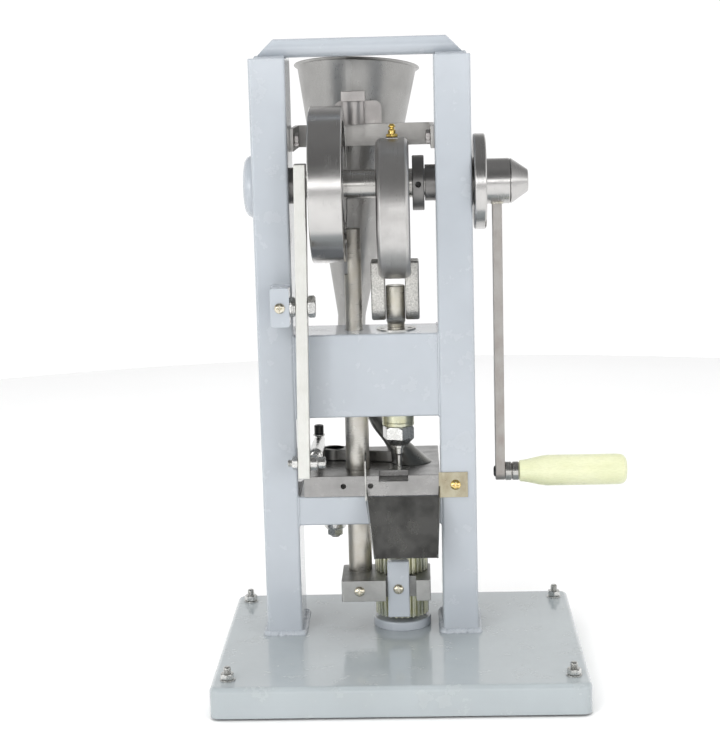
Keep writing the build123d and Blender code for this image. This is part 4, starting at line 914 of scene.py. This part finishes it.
def make_plunger():
    rod = spun([(200.0, 7.0), (285.9, 7.0)] + thread(285.9, 290.0, 7.5, 1.35)
        + [(290.0, 7.0), (290.2, 7.6), (290.9, 8.0), (320.6, 8.0), (321.4, 7.3)], *PRESS_AXIS)
    add_piece("plunger_bar", rod, "chrome", "plunger", ("plunger_rod", "wrist_pin"))
    collar = [(201.3, 12.6), (202.2, 13.5), (204.6, 13.5), (205.0, 13.1), (205.4, 13.5), (217.4, 13.5),
        (218.0, 13.0)]
    turned_piece("plunger_collar", collar, "gear", "plunger", "plunger_sleeve", PRESS_AXIS,
        bevel=0.2)
    flats = 24.0
    outline = ((184.8, 8.2), (185.6, 8.8), (190.6, 13.8), (191.2, 13.9), (199.6, 13.9), (201.3, 12.2))
    profile = [(along, radius, flats) for along, radius in outline]
    nut = spun(profile, *PRESS_AXIS, segments=144, turn=radians(14))
    add_piece("punch_gland_nut", nut, "zinc", "plunger", ("punch_nut",), 0.25)
    stem = [(159.5, 2.25), (159.8, 2.45), (175.2, 2.45), (176.2, 3.1), (177.0, 3.45), (181.6, 3.45),
        (182.0, 4.6), (184.0, 4.6), (184.7, 4.0), (188.0, 4.0)]
    turned_piece("punch_stem", stem, "punch", "plunger", "upper_punch", PRESS_AXIS,
        bevel=0.12)


# ---- lift gear
def make_lift():
    rod = spun([(57.0, 10.0), (254.0, 10.0), (256.5, 7.25), (369.4, 7.25), (370.0, 6.7)], *LIFT_AXIS)
    flat = SHAFT_Z - WHEEL_RADIUS - LIFT_TRAVEL - LIFT_GAP
    rod = carve(rod, block(bmesh.new(), (-70, 20, flat), (-38.4, 60, 380)))
    add_piece("lift_bar", rod, "lift", "lift", ("lift_rod",), 0.3)
    roller = spun([(-45.5, 5.6), (-45.1, 6.0), (-39.6, 6.0), (-39.2, 5.6), (-39.2, 3.0), (-31.3, 3.0)],
        "X", (0, PRESS_Y, 360.0), segments=64)
    add_piece("lift_cam_roller", roller, "shaft", "lift", ("lift_roller",), 0.2)
    refined("lift_fork", 0.5, "fork", "fork_block", "lift")
    refined("locking_plate", 0.5, "enamel", "gear_lock_bar", "lift")
    pan_screw("fork_clamp_screw", (LIFT_X, 0.0, 66.0), "lift", ("fork_screws",))
    pan_screw("lock_bar_screw", (-1.45, 5.4, 66.0), "lift")
    holder = [(28.0, 8.4), (28.6, 9.0), (98.0, 9.0), (101.0, 5.0), (136.0, 5.0), (136.0, 2.45),
        (156.0, 2.45)]
    turned_piece("ejector_holder", holder, "punch", "lift", "lower_punch", PRESS_AXIS,
        bevel=0.2)


def make_gears():
    """Adjusting wheels: straight teeth with broken edges and a turned recess in the upper face."""
    teeth, tip, root = 28, 22.8, 20.6
    pitch = 2 * pi / teeth
    ease = root + 1.2
    tooth = ((-0.30, root), (-0.22, ease), (-0.15, tip), (0.15, tip), (0.22, ease), (0.30, root))
    names = (("ejection_gear", "ejection_adjuster", "ejection_wheel"),
        ("fill_gear", "fill_adjuster", "fill_wheel"))
    for node, name, body in names:
        low, high = span(node, "Z")
        outline = []
        for i in range(teeth):
            for share, radius in tooth:
                angle = (i + share) * pitch
                outline.append((PRESS_X + radius * cos(angle), PRESS_Y + radius * sin(angle)))
        gear = prism(bmesh.new(), outline, "Z", low, high)
        gear = carve(gear, spun(solid(low - 1, high + 1, 9.06), *PRESS_AXIS, segments=64))
        gear = carve(gear, spun(hollow(high - 1.0, high + 1, 12.0, 17.5), *PRESS_AXIS, True, 64))
        add_piece(name, gear, "gear", body, (node,), 0.22, 2)


# ---- feeder lever, link and shoe
def make_lever():
    refined("feeder_lever", 0.5, "lever", "lever_bar", "lever", 3)
    left, right = span("lever_roller", "X")
    shoulder = -66.8
    roller = spun([(left, 3.0), (shoulder, 3.0), (shoulder, 5.6), (shoulder + 0.4, 6.0), (right - 0.4, 6.0),
        (right, 5.6)], "X", (0, LEVER_Y, 417.0), segments=64)
    add_piece("lever_cam_roller", roller, "shaft", "lever", ("lever_roller",), 0.2)
    low, high = span("link_bolt", "X")
    bolt = spun([(low, 2.6), (low + 0.5, 3.0)] + thread(low + 0.6, low + 9.0, 3.0, 1.0)
        + [(low + 9.2, 3.0), (high - 6.0, 3.0), (high - 6.0, 4.75), (high - 0.6, 4.75), (high, 4.2)],
        *LINK_AXIS, segments=64)
    bolt = carve(bolt, hex_socket(high - 3.2, high + 1, *LINK_AXIS))
    add_piece("link_bolt_body", bolt, "zinc", "lever", ("link_bolt",), 0.12)
    nut = spun(nut_profile(low + 3.5, low + 8.5, 10.0, 3.0), *LINK_AXIS, True, 72)
    add_piece("link_bolt_nut", nut, "zinc", "lever", bevel=0.15)


def make_link():
    """Turned rod: eye at the lever, slim neck and thick body, stepped down at the post."""
    left, right = LINK_X - 3.2, LINK_X + 3.2
    rod = spun([(left, 3.06), (left, 5.9), (left + 0.8, 6.5), (right - 0.8, 6.5), (right, 5.9),
        (right, 3.06)], *LINK_AXIS, True, 72)
    rear = span("link_rod", "Y")[1]
    step = rear - 20.0
    lathe(rod, [(-5.2, 2.8), (14.5, 2.8), (15.2, 4.6), (18.0, 4.6), (18.6, 5.8), (50.0, 5.8), (step, 5.8),
        (step, 4.9), (rear - 1.0, 4.9), (rear, 4.0)], "Y", (LINK_X, 0, LINK_Z), segments=64)
    add_piece("feeder_link", rod, "link", "link", ("link_rod",), 0.25)


def make_post():
    axis = ("Z", (*middle_of("link_post"), 0))
    top = span("link_post", "Z")[1]
    head = top - 8.0
    post = spun([(170.0, 2.5), (head, 2.5), (head, 3.7), (head + 0.4, 4.1), (top - 0.6, 4.1), (top, 3.6)],
        *axis, segments=64)
    post = carve(post, hex_socket(top - 3.5, top + 1, *axis))
    add_piece("post_bolt", post, "black", "shoe", ("link_post",), 0.12)
    ring = washer(bmesh.new(), head - 1.2, head, 5.2, 2.6, *axis)
    add_piece("post_washer", ring, "zinc", "shoe", bevel=0.15)


def smooth_sections(sections, count):
    """Catmull-Rom points through (x, y, z, radius) sections."""
    keys = [Vector(s) for s in sections]
    keys = [keys[0] * 2 - keys[1]] + keys + [keys[-1] * 2 - keys[-2]]
    made = []
    for a, b, c, d in zip(keys, keys[1:], keys[2:], keys[3:]):
        for i in range(count):
            t = i / count
            made.append(0.5 * (2 * b + (c - a) * t + (2 * a - 5 * b + 4 * c - d) * t * t
                + (3 * b - a - 3 * c + d) * t ** 3))
    made.append(keys[-2])
    return made


def make_funnel(outlet, bottom):
    """Flared outlet over the die, slanting neck and wide funnel mouth."""
    x, y = outlet
    mouth_x, mouth_y, mouth_radius = -51.0, 128.7, 24.9
    brim, top = 234.0, 243.0
    sections = [(x, y, bottom, 17.7), (x - 2.6, y + 1.1, bottom + 4, 15.0),
        (x - 11.5, y + 5, bottom + 15, 11.0),
        (x - 25, y + 10.5, bottom + 28, 7.6), (x - 33, y + 16, bottom + 39, 7.1),
        (-37.0, 101.0, bottom + 55, 15.6), (mouth_x, mouth_y, brim, mouth_radius)]
    centres = [Vector((p[0], p[1], min(p[2], brim), p[3])) for p in smooth_sections(sections, 8)]
    centres.append(Vector((mouth_x, mouth_y, top, mouth_radius)))
    shell = bmesh.new()
    wall, sides = 1.5, 72
    loops = []
    for inset, order in ((0.0, centres), (wall, centres[::-1])):
        for x, y, z, radius in order:
            ring = arc((x, y), radius - inset, 0, 360, sides)[:-1]
            loops.append([shell.verts.new((*spot, z)) for spot in ring])
    for a, b in zip(loops, loops[1:] + loops[:1]):
        for k in range(sides):
            n = (k + 1) % sides
            shell.faces.new((a[k], a[n], b[n], b[k]))
    add_piece("shoe_funnel", shell, "shoe", "shoe", ("feed_shoe",), angle=50)


def make_shoe():
    """Funnel on a flat swinging arm, with its pivot bolt, coil spring and spring cup."""
    pivot = Vector((-57.1, 76.0))
    outlet = Vector((11.13, 60.4))
    bottom = TABLE_TOP + 0.3
    top = bottom + 9.6
    make_funnel(outlet, bottom)
    aim = (outlet - pivot).normalized()
    side = Vector((-aim.y, aim.x)) * 8.0
    reach = aim * ((outlet - pivot).length - 13.0)
    outline = [pivot + side, pivot + side + reach, pivot - side + reach, pivot - side]
    arm = prism(bmesh.new(), [tuple(p) for p in outline], "Z", bottom, top)
    add_piece("shoe_arm", arm, "shoe_arm", "shoe", bevel=0.6)
    axis = ("Z", (*pivot, 0))
    hub = spun(solid(bottom, top, 10.0), *axis)
    lathe(hub, solid(bottom, top, 6.6), "Z", (*middle_of("link_post"), 0), segments=64)
    add_piece("shoe_hub", hub, "shoe_arm", "shoe", bevel=0.5)
    tail = span("shoe_pivot_bolt", "Z")[0]
    bolt = spun([(tail, 3.6), (tail + 0.5, 4.0), (top - 0.1, 4.0), (top - 0.1, 6.4), (top, 6.7)], *axis,
        segments=64)
    add_piece("shoe_bolt", bolt, "clamp", "shoe", ("shoe_pivot_bolt",), 0.15)
    low, high = span("pivot_spring", "Z")
    turns, wire, coil, steps = 7.5, 1.0, 5.4, 36
    count = int(turns * steps)
    path = []
    for i in range(count + 1):
        angle = 2 * pi * i / steps
        height = low + wire + (high - low - 2 * wire) * i / count
        path.append(Vector((pivot.x + coil * cos(angle), pivot.y + coil * sin(angle), height)))
    spring = tube(bmesh.new(), path, wire)
    add_piece("coil_spring", spring, "collar", "shoe", ("pivot_spring",))
    rim = span("spring_cup", "Z")[1]
    floor = rim - 8.0
    cup = spun([(floor, 4.1), (floor, 8.4), (floor + 0.8, 9.2), (floor + 1.8, 9.6), (rim - 0.6, 9.6),
        (rim, 9.0), (rim, 7.2), (rim - 3.0, 6.9), (rim - 3.0, 4.1)], *axis, True)
    lathe(cup, nut_profile(floor - 6.0, floor, 13.0, 4.1), *axis, True, 72)
    add_piece("spring_retainer", cup, "zinc", "shoe", ("spring_cup",), 0.2)


# ---- studio
# Brightness of the room by height: 0 is straight down, 0.5 the horizon, 1 overhead.
BACK_ROOM = ((0.0, 1.05), (0.62, 1.05), (0.72, 0.55), (0.85, 0.28), (1.0, 0.24))
FRONT_ROOM = ((0.0, 0.85), (0.42, 0.8), (0.455, 0.3), (0.485, 0.3), (0.5, 2.6), (0.56, 2.6), (0.62, 0.24),
    (0.80, 0.16), (1.0, 0.24))


def make_camera():
    """The lens, place and tilt that match the photograph's view."""
    yaw, pitch, roll = -0.0347, 0.1741, -0.0261
    ahead = Vector((sin(yaw) * cos(pitch), cos(yaw) * cos(pitch), -sin(pitch)))
    level = Vector((cos(yaw), -sin(yaw), 0))
    above = level.cross(ahead)
    right = level * cos(roll) + above * sin(roll)
    up = above * cos(roll) - level * sin(roll)
    camera = bpy.data.cameras.new("camera")
    camera.sensor_fit = "VERTICAL"
    camera.sensor_height = 36.0
    camera.lens = 85.75
    camera.clip_start, camera.clip_end = 0.05, 50.0
    holder = bpy.data.objects.new("camera", camera)
    place = Matrix((right, up, -ahead)).transposed().to_4x4()
    holder.matrix_world = Matrix.Translation(Vector((20.94, -1443.6, 507.9)) * MM) @ place
    bpy.context.scene.collection.objects.link(holder)
    bpy.context.scene.camera = holder


def soft_light(name, place, aim, size, power, mirrored=False):
    light = bpy.data.lights.new(name, "AREA")
    light.shape = "RECTANGLE"
    light.size, light.size_y = size
    light.energy = power
    holder = bpy.data.objects.new(name, light)
    holder.location = place
    holder.rotation_mode = "QUATERNION"
    holder.rotation_quaternion = (Vector(aim) - Vector(place)).to_track_quat("-Z", "Y")
    holder.visible_glossy = mirrored
    bpy.context.scene.collection.objects.link(holder)


def make_world():
    """Room for the metal to mirror: pale behind the part, dark high up, bright horizon by the camera."""
    world = bpy.data.worlds.new("studio")
    world.use_nodes = True
    bpy.context.scene.world = world
    s = Nodes(world.node_tree)
    parts = s.split(s.coords["Generated"])
    height = s.remap(parts["Z"], -1.0, 1.0)
    front = s.remap(parts["Y"], -0.05, -0.55)
    background = s.tree.nodes["Background"].inputs
    s.join(s.mix(front, s.ramp(height, BACK_ROOM), s.ramp(height, FRONT_ROOM)), background["Color"])
    background["Strength"].default_value = 1.0


def make_studio():
    floor = bmesh.new()
    bmesh.ops.create_circle(floor, cap_ends=True, segments=96, radius=1.6)
    mesh = bpy.data.meshes.new("floor")
    floor.to_mesh(mesh)
    floor.free()
    mesh.materials.append(floor_material())
    ground_plane = bpy.data.objects.new("floor", mesh)
    bpy.context.scene.collection.objects.link(ground_plane)
    make_world()
    soft_light("key", (-0.9, -1.7, 1.2), (0, 0, 0.3), (1.0, 1.0), 17)
    soft_light("fill", (1.3, -1.3, 0.7), (0, 0, 0.3), (0.8, 1.2), 8)
    soft_light("top", (0.0, 0.2, 2.4), (0, 0.2, 0.0), (3.6, 3.6), 75)
    soft_light("strip", (-0.75, -1.0, 0.5), (0, 0, 0.3), (0.12, 0.9), 1.6, True)
    bpy.context.scene.view_settings.view_transform = "Standard"


def dress_cad_nodes():
    """The base and the welded frame keep their CAD shapes."""
    welded = ("left_column", "right_column", "middle_crossmember", "lower_crossmember")
    for node in ("base_pan", *welded):
        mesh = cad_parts[node].data
        mesh.materials.clear()
        mesh.materials.append(M["enamel" if node in welded else "base"])


for make in (make_camera, make_studio, dress_cad_nodes, make_base, make_handle, make_welds,
    make_frame_details, make_hopper, make_crank_shaft, make_grip, make_strap, make_plunger, make_lift,
    make_gears, make_lever, make_link, make_post, make_shoe):
    make()
